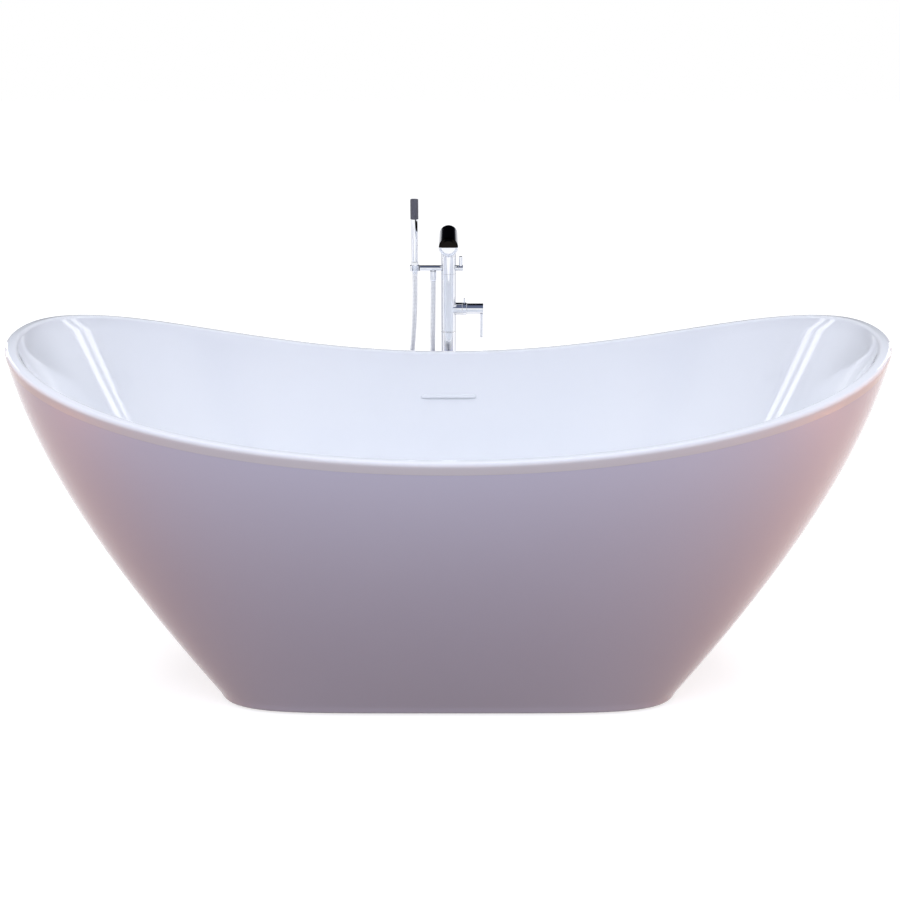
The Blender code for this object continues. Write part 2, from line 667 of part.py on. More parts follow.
def build_waste(parent):
    seal_bottom = SUMP_HEIGHT + GAP
    flange_bottom = seal_bottom + SEAL_THICKNESS + GAP
    flange_top = flange_bottom + WASTE_FLANGE_THICKNESS
    spigot_bottom = flange_bottom - WASTE_SPIGOT_DEPTH
    tube("waste_upper_seal", "rubber", parent, WASTE_FLANGE_RADIUS - 0.001,
         WASTE_SPIGOT_RADIUS + GAP, seal_bottom, seal_bottom + SEAL_THICKNESS)
    flange = turned("waste_flange", "chrome", parent,
                    [(WASTE_FLANGE_RADIUS - 0.001, flange_top),
                     (WASTE_FLANGE_RADIUS, flange_top - 0.001),
                     (WASTE_FLANGE_RADIUS, flange_bottom), (WASTE_SPIGOT_RADIUS, flange_bottom),
                     (WASTE_SPIGOT_RADIUS, spigot_bottom), (WASTE_BORE_RADIUS, spigot_bottom),
                     (WASTE_BORE_RADIUS, flange_top)], closed=True)
    spider_bottom = spigot_bottom + 0.010
    reach = (WASTE_BORE_RADIUS + WASTE_SPIGOT_RADIUS) / 2
    for label, size in (("along", (reach, SPIDER_WIDTH / 2)), ("across", (SPIDER_WIDTH / 2, reach))):
        spoke = block(f"spider_{label}", None, parent, (-size[0], -size[1], spider_bottom),
                      (size[0], size[1], spider_bottom + SPIDER_HEIGHT))
        combine(flange, spoke, "UNION")
    hub = rod("spider_hub", None, parent, (0, 0, spider_bottom - 0.004),
              (0, 0, spider_bottom + SPIDER_HEIGHT + 0.004), HUB_RADIUS)
    combine(flange, hub, "UNION")
    guide = rod("stem_guide", None, parent, (0, 0, spider_bottom - 0.02),
                (0, 0, spider_bottom + 0.03), STEM_RADIUS + SLIDING_CLEARANCE)
    combine(flange, guide, "DIFFERENCE")

    plug_seal_bottom = flange_top + GAP
    cap_bottom = plug_seal_bottom + SEAL_THICKNESS + GAP
    datum = make_datum("plug_axis", (0, 0, 0))
    datum.parent = parent
    tube("plug_seal", "rubber", datum, PLUG_SEAL_OUTER, PLUG_SEAL_INNER,
         plug_seal_bottom, plug_seal_bottom + SEAL_THICKNESS)
    cap_profile = [(0, cap_bottom + PLUG_HEIGHT)]
    for angle in (20, 40, 60, 80):
        cap_profile.append((PLUG_RADIUS * math.sin(math.radians(angle)),
                            cap_bottom + 0.003 + (PLUG_HEIGHT - 0.003) * math.cos(math.radians(angle))))
    cap_profile += [(PLUG_RADIUS, cap_bottom + 0.002), (PLUG_RADIUS, cap_bottom), (0, cap_bottom)]
    turned("plug_cap", "chrome", datum, cap_profile)
    rod("plug_stem", "brass", datum, (0, 0, cap_bottom - GAP),
        (0, 0, cap_bottom - GAP - STEM_LENGTH), STEM_RADIUS)

    lower_seal_top = SUMP_HEIGHT - BASIN_WALL - GAP
    housing_top = lower_seal_top - SEAL_THICKNESS - GAP
    tube("waste_lower_seal", "rubber", parent, HOUSING_FLANGE_RADIUS - 0.001,
         WASTE_SPIGOT_RADIUS + GAP, lower_seal_top - SEAL_THICKNESS, lower_seal_top)
    bore = WASTE_SPIGOT_RADIUS + 2 * GAP
    outer = max(HOUSING_RADIUS, bore + HOUSING_WALL)
    housing = turned("waste_housing", "white_plastic", parent,
                     [(HOUSING_FLANGE_RADIUS, housing_top), (HOUSING_FLANGE_RADIUS, housing_top - 0.004),
                      (outer, housing_top - 0.004), (outer, HOUSING_FLOOR_HEIGHT),
                      (TAIL_RADIUS, HOUSING_FLOOR_HEIGHT), (TAIL_RADIUS, TAIL_BOTTOM),
                      (TAIL_RADIUS - TAIL_WALL, TAIL_BOTTOM),
                      (TAIL_RADIUS - TAIL_WALL, HOUSING_FLOOR_HEIGHT + HOUSING_WALL),
                      (bore, HOUSING_FLOOR_HEIGHT + HOUSING_WALL), (bore, housing_top)], closed=True)
    branch = rod("inlet_branch", None, parent, (0, outer - HOUSING_WALL / 2, BRANCH_HEIGHT),
                 (0, BRANCH_REACH, BRANCH_HEIGHT), OVERFLOW_PIPE_RADIUS)
    combine(housing, branch, "UNION")
    passage = rod("inlet_passage", None, parent, (0, outer - 2 * HOUSING_WALL, BRANCH_HEIGHT),
                  (0, BRANCH_REACH + 0.01, BRANCH_HEIGHT), OVERFLOW_PIPE_RADIUS - 0.003)
    combine(housing, passage, "DIFFERENCE")


def build_trap(parent):
    bore = TAIL_RADIUS + SLIDING_CLEARANCE
    tube("trap_nut", "white_plastic", parent, TRAP_NUT_RADIUS, bore, TRAP_TOP + GAP,
         TRAP_TOP + GAP + TRAP_NUT_HEIGHT)
    shoulder = TRAP_TOP - 0.006
    trap = turned("trap_body", "white_plastic", parent,
                  [(TRAP_NUT_RADIUS, TRAP_TOP), (TRAP_NUT_RADIUS, shoulder), (TRAP_RADIUS, shoulder - 0.004),
                   (TRAP_RADIUS, TRAP_BOTTOM), (0, TRAP_BOTTOM), (0, TRAP_BOTTOM + TRAP_FLOOR),
                   (bore, TRAP_BOTTOM + TRAP_FLOOR), (bore, TRAP_TOP)], closed=True)
    height = TRAP_BOTTOM + OUTLET_RADIUS
    spigot = rod("outlet_spigot", None, parent, (TRAP_RADIUS - 0.006, 0, height),
                 (OUTLET_REACH, 0, height), OUTLET_RADIUS, 24)
    combine(trap, spigot, "UNION")
    passage = rod("outlet_passage", None, parent, (bore - 0.004, 0, height),
                  (OUTLET_REACH + 0.01, 0, height), OUTLET_BORE_RADIUS, 24)
    combine(trap, passage, "DIFFERENCE")


# ---- overflow ----

def overflow_frame():
    # The overflow's own frame: its origin is on the inside wall and it leans with the wall.
    depth, lean = back_wall_at(OVERFLOW_HEIGHT)
    return (0, depth, OVERFLOW_HEIGHT), (-lean, 0, 0)


def overflow_slot(name, finish, parent, clearance, front, back):
    origin, rotation = overflow_frame()
    width = OVERFLOW_MOUTH_WIDTH + 2 * (OVERFLOW_SLEEVE_WALL + clearance)
    height = OVERFLOW_MOUTH_HEIGHT + 2 * (OVERFLOW_SLEEVE_WALL + clearance)
    return slot_prism(name, finish, parent, width, height, front, back, rotation, origin)


def build_overflow(parent):
    origin, rotation = overflow_frame()
    trim = slot_prism("overflow_hood", "white_acrylic", parent, OVERFLOW_WIDTH, OVERFLOW_FACE_HEIGHT,
                      -HOOD_DEPTH - GAP, -GAP, rotation, origin)
    sleeve = overflow_slot("overflow_sleeve", None, parent, 0.0, -GAP - 0.0005, BASIN_WALL + 0.001)
    combine(trim, sleeve, "UNION")
    behind_face = HOOD_FACE - HOOD_DEPTH - GAP
    mouth = slot_prism("overflow_mouth", None, parent, OVERFLOW_MOUTH_WIDTH, OVERFLOW_MOUTH_HEIGHT,
                       behind_face, 0.03, rotation, origin)
    combine(trim, mouth, "DIFFERENCE")
    half_entry = OVERFLOW_WIDTH / 2 - HOOD_END
    entry = block("hood_entry", None, parent, (-half_entry, behind_face, -OVERFLOW_FACE_HEIGHT),
                  (half_entry, -GAP - HOOD_BACK_STRIP, 0), rotation=rotation, origin=origin)
    combine(trim, entry, "DIFFERENCE")

    gasket_front = BASIN_WALL + GAP
    gasket_back = gasket_front + GASKET_THICKNESS
    gasket = block("overflow_gasket", "rubber", parent,
                   (-DUCT_HALF_WIDTH, gasket_front, -DUCT_BELOW), (DUCT_HALF_WIDTH, gasket_back, DUCT_ABOVE),
                   rotation=rotation, origin=origin)
    combine(gasket, overflow_slot("gasket_window", None, parent, 2 * GAP, 0.0, 0.03), "DIFFERENCE")

    duct_front = gasket_back + GAP
    duct_back = duct_front + DUCT_DEPTH
    duct = block("overflow_duct", "white_plastic", parent,
                 (-DUCT_HALF_WIDTH, duct_front, -DUCT_BELOW), (DUCT_HALF_WIDTH, duct_back, DUCT_ABOVE),
                 rotation=rotation, origin=origin)
    middle = (duct_front + duct_back) / 2
    lean = Vector((0, -math.sin(rotation[0]), math.cos(rotation[0])))
    square = Vector((0, math.cos(rotation[0]), math.sin(rotation[0])))
    centre = Vector(origin) + square * middle
    spigot_end = centre - lean * (DUCT_BELOW + DUCT_SPIGOT_LENGTH)
    spigot = rod("duct_spigot", None, parent, centre - lean * (DUCT_BELOW - 0.001), spigot_end,
                 DUCT_SPIGOT_RADIUS)
    combine(duct, spigot, "UNION")
    hollow = block("duct_hollow", None, parent,
                   (-DUCT_HALF_WIDTH + DUCT_WALL, duct_front - 0.01, -DUCT_BELOW + DUCT_WALL),
                   (DUCT_HALF_WIDTH - DUCT_WALL, duct_back - DUCT_WALL, DUCT_ABOVE - DUCT_WALL),
                   rotation=rotation, origin=origin)
    combine(duct, hollow, "DIFFERENCE")
    drop = rod("duct_drop", None, parent, centre - lean * (DUCT_BELOW - DUCT_WALL - 0.002),
               spigot_end - lean * 0.01, DUCT_SPIGOT_RADIUS - 0.002)
    combine(duct, drop, "DIFFERENCE")

    start = spigot_end - lean * GAP
    route = [start, start - lean * 0.02]
    for height in (0.38, 0.32, 0.26, 0.20, 0.155):
        route.append(Vector((0, hollow_middle(height * SIDE_HEIGHT / 0.575), height * SIDE_HEIGHT / 0.575)))
    turn_radius = 0.055
    corner_y = route[-1].y - 0.012
    for angle in (20, 45, 70, 90):
        route.append(Vector((0, corner_y - turn_radius + turn_radius * math.cos(math.radians(angle)),
                             BRANCH_HEIGHT + turn_radius - turn_radius * math.sin(math.radians(angle)))))
    route.append(Vector((0, (route[-1].y + BRANCH_REACH) / 2, BRANCH_HEIGHT)))
    route.append(Vector((0, BRANCH_REACH + GAP, BRANCH_HEIGHT)))
    pipe("overflow_pipe", "white_plastic", parent, smooth_route(route, 0.02), OVERFLOW_PIPE_RADIUS)


def hollow_middle(height):
    # Half way between the basin's back and the skirt, at the tub's middle.
    basin_back = back_wall_at(height)[0] + BASIN_WALL
    skirt_front = outside_point(RING_POINTS // 4, height).y - SKIRT_WALL
    return (basin_back + skirt_front) / 2


# ---- filler column ----

def build_column(parent):
    anchor = tube("floor_anchor", "galvanised_steel", parent, ANCHOR_RADIUS, ANCHOR_BORE_RADIUS,
                  0, ANCHOR_THICKNESS)
    for number in range(3):
        angle = math.radians(90 + 120 * number)
        x = ANCHOR_HOLE_CIRCLE * math.cos(angle)
        y = ANCHOR_HOLE_CIRCLE * math.sin(angle)
        hole = rod(f"anchor_hole_{number}", None, parent, (x, y, -0.01), (x, y, 0.02), ANCHOR_HOLE_RADIUS)
        combine(anchor, hole, "DIFFERENCE")
    inside = ANCHOR_RADIUS + GAP
    roof = ANCHOR_THICKNESS + GAP
    bore = COLUMN_RADIUS + GAP
    turned("flange_cover", "chrome", parent,
           [(COVER_RADIUS - 0.004, COVER_HEIGHT), (COVER_RADIUS - 0.001, COVER_HEIGHT - 0.001),
            (COVER_RADIUS, COVER_HEIGHT - 0.004), (COVER_RADIUS, 0), (inside, 0), (inside, roof),
            (bore, roof), (bore, COVER_HEIGHT)], closed=True)
    collar_bottom = COLUMN_JOINT_HEIGHT - COLLAR_HEIGHT / 2
    inner = COLUMN_RADIUS - COLUMN_WALL
    tube("column_lower", "chrome", parent, COLUMN_RADIUS, inner, roof, collar_bottom - GAP)
    tube("column_collar", "chrome", parent, COLUMN_RADIUS - COLLAR_STEP, inner,
         collar_bottom, collar_bottom + COLLAR_HEIGHT)
    body_bottom = collar_bottom + COLLAR_HEIGHT + GAP
    for side, x in (("hot", -SUPPLY_SPACING / 2), ("cold", SUPPLY_SPACING / 2)):
        rod(f"{side}_supply", "brass", parent, (x, 0, SUPPLY_FLOOR_CLEARANCE),
            (x, 0, body_bottom - GAP), SUPPLY_RADIUS)
    return body_bottom


def build_mixer(parent, body_bottom):
    body = rod("valve_body", "chrome", parent, (0, 0, body_bottom), (0, 0, VALVE_BODY_TOP),
               COLUMN_RADIUS, ROUND_STEPS)
    branch = rod("valve_branch", None, parent, (0, 0, MIXER_HEIGHT), (BRANCH_END, 0, MIXER_HEIGHT),
                 BRANCH_RADIUS, ROUND_STEPS)
    combine(body, branch, "UNION")
    chamber = rod("cartridge_chamber", None, parent, (BRANCH_END - CARTRIDGE_DEPTH, 0, MIXER_HEIGHT),
                  (BRANCH_END + 0.01, 0, MIXER_HEIGHT), CARTRIDGE_RADIUS + GAP, 24)
    combine(body, chamber, "DIFFERENCE")

    along = (0, math.pi / 2, 0)
    axis = (0, 0, MIXER_HEIGHT)
    ring_start = BRANCH_END + GAP
    ring_end = ring_start + FLOW_RING_WIDTH
    cap_start = ring_end + GAP
    spindle_end = cap_start + CAP_SOCKET_DEPTH
    spindle_bore = SPINDLE_RADIUS + SLIDING_CLEARANCE
    turned("cartridge", "brass", parent,
           [(0, spindle_end - GAP), (SPINDLE_RADIUS, spindle_end - GAP), (SPINDLE_RADIUS, BRANCH_END - GAP),
            (CARTRIDGE_RADIUS, BRANCH_END - GAP), (CARTRIDGE_RADIUS, BRANCH_END - CARTRIDGE_DEPTH + GAP),
            (0, BRANCH_END - CARTRIDGE_DEPTH + GAP)], axis, along, steps=24)

    flow_axis = make_datum("flow_axis", axis)
    flow_axis.parent = parent
    ring = tube("flow_ring", "chrome", flow_axis, BRANCH_RADIUS, spindle_bore, ring_start, ring_end,
                rotation=along)
    pin_x = (ring_start + ring_end) / 2
    socket = BRANCH_RADIUS - PIN_SOCKET_DEPTH
    hole = rod("flow_pin_socket", None, flow_axis, (pin_x, 0, socket), (pin_x, 0, BRANCH_RADIUS + 0.01),
               FLOW_PIN_RADIUS + GAP, 16)
    combine(ring, hole, "DIFFERENCE")
    rod("flow_pin", "chrome", flow_axis, (pin_x, 0, socket + GAP), (pin_x, 0, FLOW_PIN_TOP),
        FLOW_PIN_RADIUS, 16)

    heat_axis = make_datum("temperature_axis", axis)
    heat_axis.parent = parent
    cap = turned("temperature_cap", "chrome", heat_axis,
                 [(0, CAP_END), (CAP_RADIUS - 0.001, CAP_END), (CAP_RADIUS, CAP_END - 0.001),
                  (CAP_RADIUS, cap_start), (spindle_bore, cap_start), (spindle_bore, spindle_end),
                  (0, spindle_end)], rotation=along)
    lever_x = CAP_END - LEVER_RADIUS - 0.0008
    socket = CAP_RADIUS - PIN_SOCKET_DEPTH
    hole = rod("lever_socket", None, heat_axis, (lever_x, 0, -socket), (lever_x, 0, -CAP_RADIUS - 0.01),
               LEVER_RADIUS + GAP, 16)
    combine(cap, hole, "DIFFERENCE")
    rod("lever_rod", "chrome", heat_axis, (lever_x, 0, -socket - GAP), (lever_x, 0, -LEVER_LENGTH),
        LEVER_RADIUS, 16)


def build_crossbar(parent):
    bottom = VALVE_BODY_TOP + GAP
    body = rod("crossbar_body", "chrome", parent, (0, 0, bottom), (0, 0, CROSSBAR_BODY_TOP),
               COLUMN_RADIUS, ROUND_STEPS)
    bar_start = CRADLE_X + CRADLE_RADIUS + GAP
    bar = rod("crossbar", None, parent, (bar_start, 0, CROSSBAR_HEIGHT),
              (DIVERTER_START, 0, CROSSBAR_HEIGHT), CROSSBAR_RADIUS, 24)
    combine(body, bar, "UNION")
    boss = rod("hose_boss", None, parent, (OUTLET_X, 0, CROSSBAR_HEIGHT),
               (OUTLET_X, 0, CROSSBAR_HEIGHT - OUTLET_BOSS_LENGTH), OUTLET_BOSS_RADIUS)
    combine(body, boss, "UNION")
    swivel_bore = rod("swivel_bore", None, parent, (0, 0, CROSSBAR_BODY_TOP + 0.01),
                      (0, 0, CROSSBAR_BODY_TOP - SPOUT_SPIGOT_DEPTH), SPOUT_SPIGOT_RADIUS + SLIDING_CLEARANCE, 24)
    combine(body, swivel_bore, "DIFFERENCE")
    spindle_start = DIVERTER_START - DIVERTER_SPINDLE_DEPTH
    spindle_bore = DIVERTER_SPINDLE_RADIUS + SLIDING_CLEARANCE
    bore = rod("diverter_bore", None, parent, (spindle_start, 0, CROSSBAR_HEIGHT),
               (DIVERTER_START + 0.01, 0, CROSSBAR_HEIGHT), spindle_bore, 16)
    combine(body, bore, "DIFFERENCE")

    axis = make_datum("diverter_axis", (0, 0, CROSSBAR_HEIGHT))
    axis.parent = parent
    along = (0, math.pi / 2, 0)
    knob_start = DIVERTER_START + GAP
    spindle_end = (knob_start + DIVERTER_END) / 2
    knob = turned("diverter_knob", "chrome", axis,
                  [(0, DIVERTER_END), (CROSSBAR_RADIUS - 0.0008, DIVERTER_END),
                   (CROSSBAR_RADIUS, DIVERTER_END - 0.0008), (CROSSBAR_RADIUS, knob_start),
                   (spindle_bore, knob_start), (spindle_bore, spindle_end), (0, spindle_end)],
                  rotation=along, steps=24)
    rod("diverter_spindle", "brass", axis, (spindle_start + GAP, 0, 0), (spindle_end - GAP, 0, 0),
        DIVERTER_SPINDLE_RADIUS, 16)
    pin_x = (knob_start + DIVERTER_END) / 2
    socket = CROSSBAR_RADIUS - 0.0022
    hole = rod("diverter_pin_socket", None, axis, (pin_x, 0, socket), (pin_x, 0, 0.02),
               DIVERTER_PIN_RADIUS + GAP)
    combine(knob, hole, "DIFFERENCE")
    rod("diverter_pin", "chrome", axis, (pin_x, 0, socket + GAP), (pin_x, 0, DIVERTER_PIN_TOP),
        DIVERTER_PIN_RADIUS)

    low = CROSSBAR_HEIGHT - CROSSBAR_RADIUS
    high = CROSSBAR_HEIGHT + CROSSBAR_RADIUS
    cradle = turned("shower_cradle", "chrome", parent,
                    [(CRADLE_RADIUS, high), (CRADLE_RADIUS, low), (CRADLE_BORE_BOTTOM, low),
                     (CRADLE_BORE_TOP, high)], (CRADLE_X, 0, 0), steps=24, closed=True)
    mouth = block("cradle_mouth", None, parent, (CRADLE_X - CRADLE_MOUTH / 2, -0.02, low - 0.01),
                  (CRADLE_X + CRADLE_MOUTH / 2, 0.0, high + 0.01))
    combine(cradle, mouth, "DIFFERENCE")

    boss_end = CROSSBAR_HEIGHT - OUTLET_BOSS_LENGTH
    nut_bore = OUTLET_BOSS_RADIUS + GAP
    nut_top = low - 2 * GAP
    turned("hose_outlet_nut", "chrome", parent,
           [(OUTLET_NUT_RADIUS, nut_top), (OUTLET_NUT_RADIUS, OUTLET_NUT_BOTTOM + 0.003),
            (HOSE_RADIUS, OUTLET_NUT_BOTTOM), (0, OUTLET_NUT_BOTTOM), (0, boss_end - GAP),
            (nut_bore, boss_end - GAP), (nut_bore, nut_top)], (OUTLET_X, 0, 0), steps=24, closed=True)


def build_spout(parent):
    collar_bottom = CROSSBAR_BODY_TOP + GAP
    collar_top = collar_bottom + SPOUT_COLLAR_HEIGHT
    tube("spout_collar", "chrome", parent, SPOUT_COLLAR_RADIUS, SPOUT_SPIGOT_RADIUS + SLIDING_CLEARANCE,
         collar_bottom, collar_top)
    axis = make_datum("spout_axis", (0, 0, 0))
    axis.parent = parent
    barrel_profile = [(0, SPOUT_REACH)]
    for angle in (0, 30, 60, 90):
        turn = math.radians(angle)
        barrel_profile.append((SPOUT_RADIUS - SPOUT_END_RADIUS * (1 - math.sin(turn)),
                               SPOUT_REACH - SPOUT_END_RADIUS * (1 - math.cos(turn))))
    for angle in (0, 30, 60, 90):
        turn = math.radians(angle)
        barrel_profile.append((SPOUT_RADIUS - SPOUT_END_RADIUS * (1 - math.cos(turn)),
                               -SPOUT_RADIUS + SPOUT_END_RADIUS * (1 - math.sin(turn))))
    barrel_profile.append((0, -SPOUT_RADIUS))
    spout = turned("spout", "chrome", axis, barrel_profile, (0, 0, SPOUT_HEIGHT), (math.pi / 2, 0, 0))
    neck = place(turned_column("spout_neck", SPOUT_HEIGHT, collar_top + GAP), "spout_neck", None, axis)
    combine(spout, neck, "UNION")
    outlet_y = -(SPOUT_REACH - AERATOR_BACKSET)
    for name, start, end, radius in (
            ("spout_bore", (0, 0, SPOUT_HEIGHT), (0, outlet_y, SPOUT_HEIGHT), SPOUT_BORE_RADIUS),
            ("neck_bore", (0, 0, CROSSBAR_BODY_TOP - 0.03), (0, 0, SPOUT_HEIGHT), SPOUT_NECK_BORE),
            ("outlet_bore", (0, outlet_y, SPOUT_HEIGHT - SPOUT_RADIUS - 0.01), (0, outlet_y, SPOUT_HEIGHT),
             AERATOR_RADIUS + GAP)):
        combine(spout, rod(name, None, axis, start, end, radius, 24), "DIFFERENCE")
    ring_bottom = SPOUT_HEIGHT - SPOUT_RADIUS - AERATOR_DROP + 0.002
    ring_top = ring_bottom + AERATOR_DEPTH
    inside = AERATOR_RADIUS - AERATOR_WALL
    tube("aerator_ring", "chrome", axis, AERATOR_RADIUS, inside, ring_bottom, ring_top, (0, outlet_y, 0),
         steps=24)
    rod("aerator_insert", "grey_plastic", axis, (0, outlet_y, ring_bottom + 0.0015),
        (0, outlet_y, ring_top - 0.001), inside - GAP, 24)


def turned_column(name, top, shoulder):
    # The spout's neck, with the narrower spigot that turns in the crossbar's bore.
    builder = bmesh.new()
    bmesh.ops.create_cone(builder, cap_ends=True, segments=ROUND_STEPS, radius1=COLUMN_RADIUS,
                          radius2=COLUMN_RADIUS, depth=top - shoulder)
    bmesh.ops.translate(builder, verts=builder.verts[:], vec=(0, 0, (top + shoulder) / 2))
    underside = min(builder.faces, key=lambda face: face.calc_center_median().z)
    bmesh.ops.inset_region(builder, faces=[underside], thickness=COLUMN_RADIUS - SPOUT_SPIGOT_RADIUS)
    spigot_bottom = CROSSBAR_BODY_TOP - SPOUT_SPIGOT_DEPTH + GAP
    moved = bmesh.ops.extrude_face_region(builder, geom=[underside])["geom"]
    bmesh.ops.delete(builder, geom=[underside], context="FACES")
    for vertex in moved:
        if isinstance(vertex, bmesh.types.BMVert):
            vertex.co.z = spigot_bottom
    bmesh.ops.recalc_face_normals(builder, faces=builder.faces[:])
    return finish_mesh(name, builder)


def build_handset(parent):
    axis = make_datum("handset_axis", (CRADLE_X, 0, 0))
    axis.parent = parent
    head_bottom = HANDSET_TOP - HEAD_HEIGHT
    turned("handset_head", "grey_plastic", axis,
           [(0, HANDSET_TOP), (HEAD_RADIUS - 0.0015, HANDSET_TOP), (HEAD_RADIUS, HANDSET_TOP - 0.0015),
            (HEAD_RADIUS, head_bottom + 0.0006), (HEAD_RADIUS - 0.0006, head_bottom), (0, head_bottom)],
           steps=24)
    rod("handset_handle", "chrome", axis, (0, 0, NUT_CONE_TOP + GAP), (0, 0, head_bottom - GAP),
        HANDLE_BOTTOM_RADIUS, 24, HANDLE_TOP_RADIUS)
    low = CROSSBAR_HEIGHT - CROSSBAR_RADIUS
    high = CROSSBAR_HEIGHT + CROSSBAR_RADIUS
    turned("handset_nut", "chrome", axis,
           [(0, NUT_CONE_TOP), (NUT_SHOULDER_RADIUS, NUT_CONE_TOP), (CRADLE_BORE_TOP - GAP, high + 0.002),
            (CRADLE_BORE_TOP - GAP, high), (CRADLE_BORE_BOTTOM - GAP, low),
            (CRADLE_BORE_BOTTOM - GAP, NUT_CONE_BOTTOM), (0, NUT_CONE_BOTTOM)], steps=24)


# ---- assembly ----

tub_datum = make_datum("tub_datum", (0, TUB_Y, 0))
filler_datum = make_datum("filler_datum", (0, FILLER_Y, 0))

build_basin(tub_datum)
build_skirt(tub_datum)
build_frame(tub_datum)
build_waste(tub_datum)
build_trap(tub_datum)
build_overflow(tub_datum)
build_mixer(filler_datum, build_column(filler_datum))
build_crossbar(filler_datum)
build_spout(filler_datum)
build_handset(filler_datum)
pipe("hose", "chrome", filler_datum, smooth_route(HOSE_ROUTE, HOSE_SPACING), HOSE_RADIUS)
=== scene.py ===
import json
import math

import bmesh
import bpy
from mathutils import Matrix, Vector


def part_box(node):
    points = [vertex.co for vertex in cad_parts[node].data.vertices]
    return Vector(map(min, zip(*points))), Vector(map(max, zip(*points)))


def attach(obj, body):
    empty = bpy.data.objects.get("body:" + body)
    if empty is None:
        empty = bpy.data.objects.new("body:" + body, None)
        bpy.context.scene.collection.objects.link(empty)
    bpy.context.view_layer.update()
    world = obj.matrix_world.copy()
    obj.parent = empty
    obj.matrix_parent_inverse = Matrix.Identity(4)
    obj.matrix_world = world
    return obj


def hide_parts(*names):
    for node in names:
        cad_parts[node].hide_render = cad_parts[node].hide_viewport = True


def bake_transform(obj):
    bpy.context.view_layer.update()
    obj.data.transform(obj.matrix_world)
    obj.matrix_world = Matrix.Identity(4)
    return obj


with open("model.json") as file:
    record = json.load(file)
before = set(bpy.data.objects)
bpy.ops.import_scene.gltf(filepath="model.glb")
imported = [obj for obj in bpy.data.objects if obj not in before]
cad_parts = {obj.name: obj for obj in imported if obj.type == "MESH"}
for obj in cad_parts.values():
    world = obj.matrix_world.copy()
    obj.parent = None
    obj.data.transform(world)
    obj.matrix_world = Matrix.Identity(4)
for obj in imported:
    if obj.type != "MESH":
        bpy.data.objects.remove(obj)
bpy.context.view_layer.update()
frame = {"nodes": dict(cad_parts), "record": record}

# Camera
view = {
    "distance": 2.2776,  # in front of the middle of the tub
    "height": 1.2333,
    "sideways": 0.0034,
    "pitch": 0.3256,
    "lens": 47.06,
    "sensor": 36.0,
}
basinLow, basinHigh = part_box("basin")
tubY = (basinLow.y + basinHigh.y) / 2
columnLow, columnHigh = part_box("column_lower")
fillerY = (columnLow.y + columnHigh.y) / 2
cameraData = bpy.data.cameras.new("camera")
cameraData.lens = view["lens"]
cameraData.sensor_width = view["sensor"]
camera = bpy.data.objects.new("camera", cameraData)
camera.location = (view["sideways"], tubY - view["distance"], view["height"])
camera.rotation_euler = (math.pi / 2 - view["pitch"], 0, 0)
bpy.context.scene.collection.objects.link(camera)
bpy.context.scene.camera = camera
bpy.context.scene.view_settings.view_transform = "Standard"
print("camera set")


# Materials
class Wire:
    # One output of a node; sums, differences and products of wires become Math nodes
    def __init__(self, tree, out):
        self.tree = tree
        self.out = out

    def node(self, kind, settings, sockets, take=0):
        made = self.tree.nodes.new("ShaderNode" + kind)
        for key, value in settings.items():
            setattr(made, key, value)
        for key, value in sockets.items():
            if isinstance(value, Wire):
                self.tree.links.new(value.out, made.inputs[key])
            else:
                made.inputs[key].default_value = value
        return Wire(self.tree, made.outputs[take])

    def maths(self, operation, first, second):
        return self.node("Math", {"operation": operation}, {0: first, 1: second})

    def limited(self):
        return self.maths("MINIMUM", self, 1.0)

    def mixed(self, low, high):
        # A colour between two, by this value
        ends = [value if isinstance(value, Wire) else (*value, 1.0) for value in (low, high)]
        return self.node("Mix", {"data_type": "RGBA"}, {0: self, 6: ends[0], 7: ends[1]}, 2)

    def between(self, low, high):
        # 0 below the low value, 1 above the high one, with a soft step between them
        settings = {"interpolation_type": "SMOOTHSTEP"}
        return self.node("MapRange", settings, {"Value": self, "From Min": low, "From Max": high})

    def __add__(self, other):
        return self.maths("ADD", self, other)

    __radd__ = __add__

    def __mul__(self, other):
        return self.maths("MULTIPLY", self, other)

    __rmul__ = __mul__

    def __sub__(self, other):
        return self.maths("SUBTRACT", self, other)

    def __rsub__(self, other):
        return self.maths("SUBTRACT", other, self)


def startFinish(name, fixed):
    # A new material with its plain values set, and the wire of its object coordinates
    material = bpy.data.materials.new(name)
    material.use_nodes = True
    shader = material.node_tree.nodes["Principled BSDF"]
    for key, value in fixed.items():
        shader.inputs[key].default_value = value
    coordinates = material.node_tree.nodes.new("ShaderNodeTexCoord")
    return material, Wire(material.node_tree, coordinates.outputs["Object"])


def endFinish(material, colour, roughness, height=None, depth=0.0001, metal=None, coat=None):
    tree = material.node_tree
    shader = tree.nodes["Principled BSDF"]
    links = {"Base Color": colour, "Roughness": roughness, "Metallic": metal, "Coat Weight": coat}
    if height is not None:
        links["Normal"] = height.node("Bump", {}, {"Strength": 1.0, "Distance": depth, "Height": height})
    for key, wire in links.items():
        if wire is not None:
            tree.links.new(wire.out, shader.inputs[key])
    return material


def noiseAt(place, scale, detail=2.0):
    return place.node("TexNoise", {}, {"Vector": place, "Scale": scale, "Detail": detail})


def makeAcrylic(name, look):
    # Cast acrylic: clear gloss over a slow drift of tone, with the faint waviness of a formed sheet
    material, place = startFinish(name, {"IOR": 1.49, "Coat IOR": 1.5, "Coat Roughness": 0.03})
    drift = noiseAt(place, look["driftScale"]).between(0.3, 0.7)
    polish = noiseAt(place, look["polishScale"], 4.0)
    wave = noiseAt(place, look["waveScale"], 1.0)
    peel = noiseAt(place, look["peelScale"], 1.0)
    return endFinish(material, drift.mixed(look["colour"], look["shade"]),
                     look["gloss"] + polish * look["dullness"], wave + peel * look["peelShare"],
                     look["waveDepth"], coat=0.25 + 0.15 * polish)


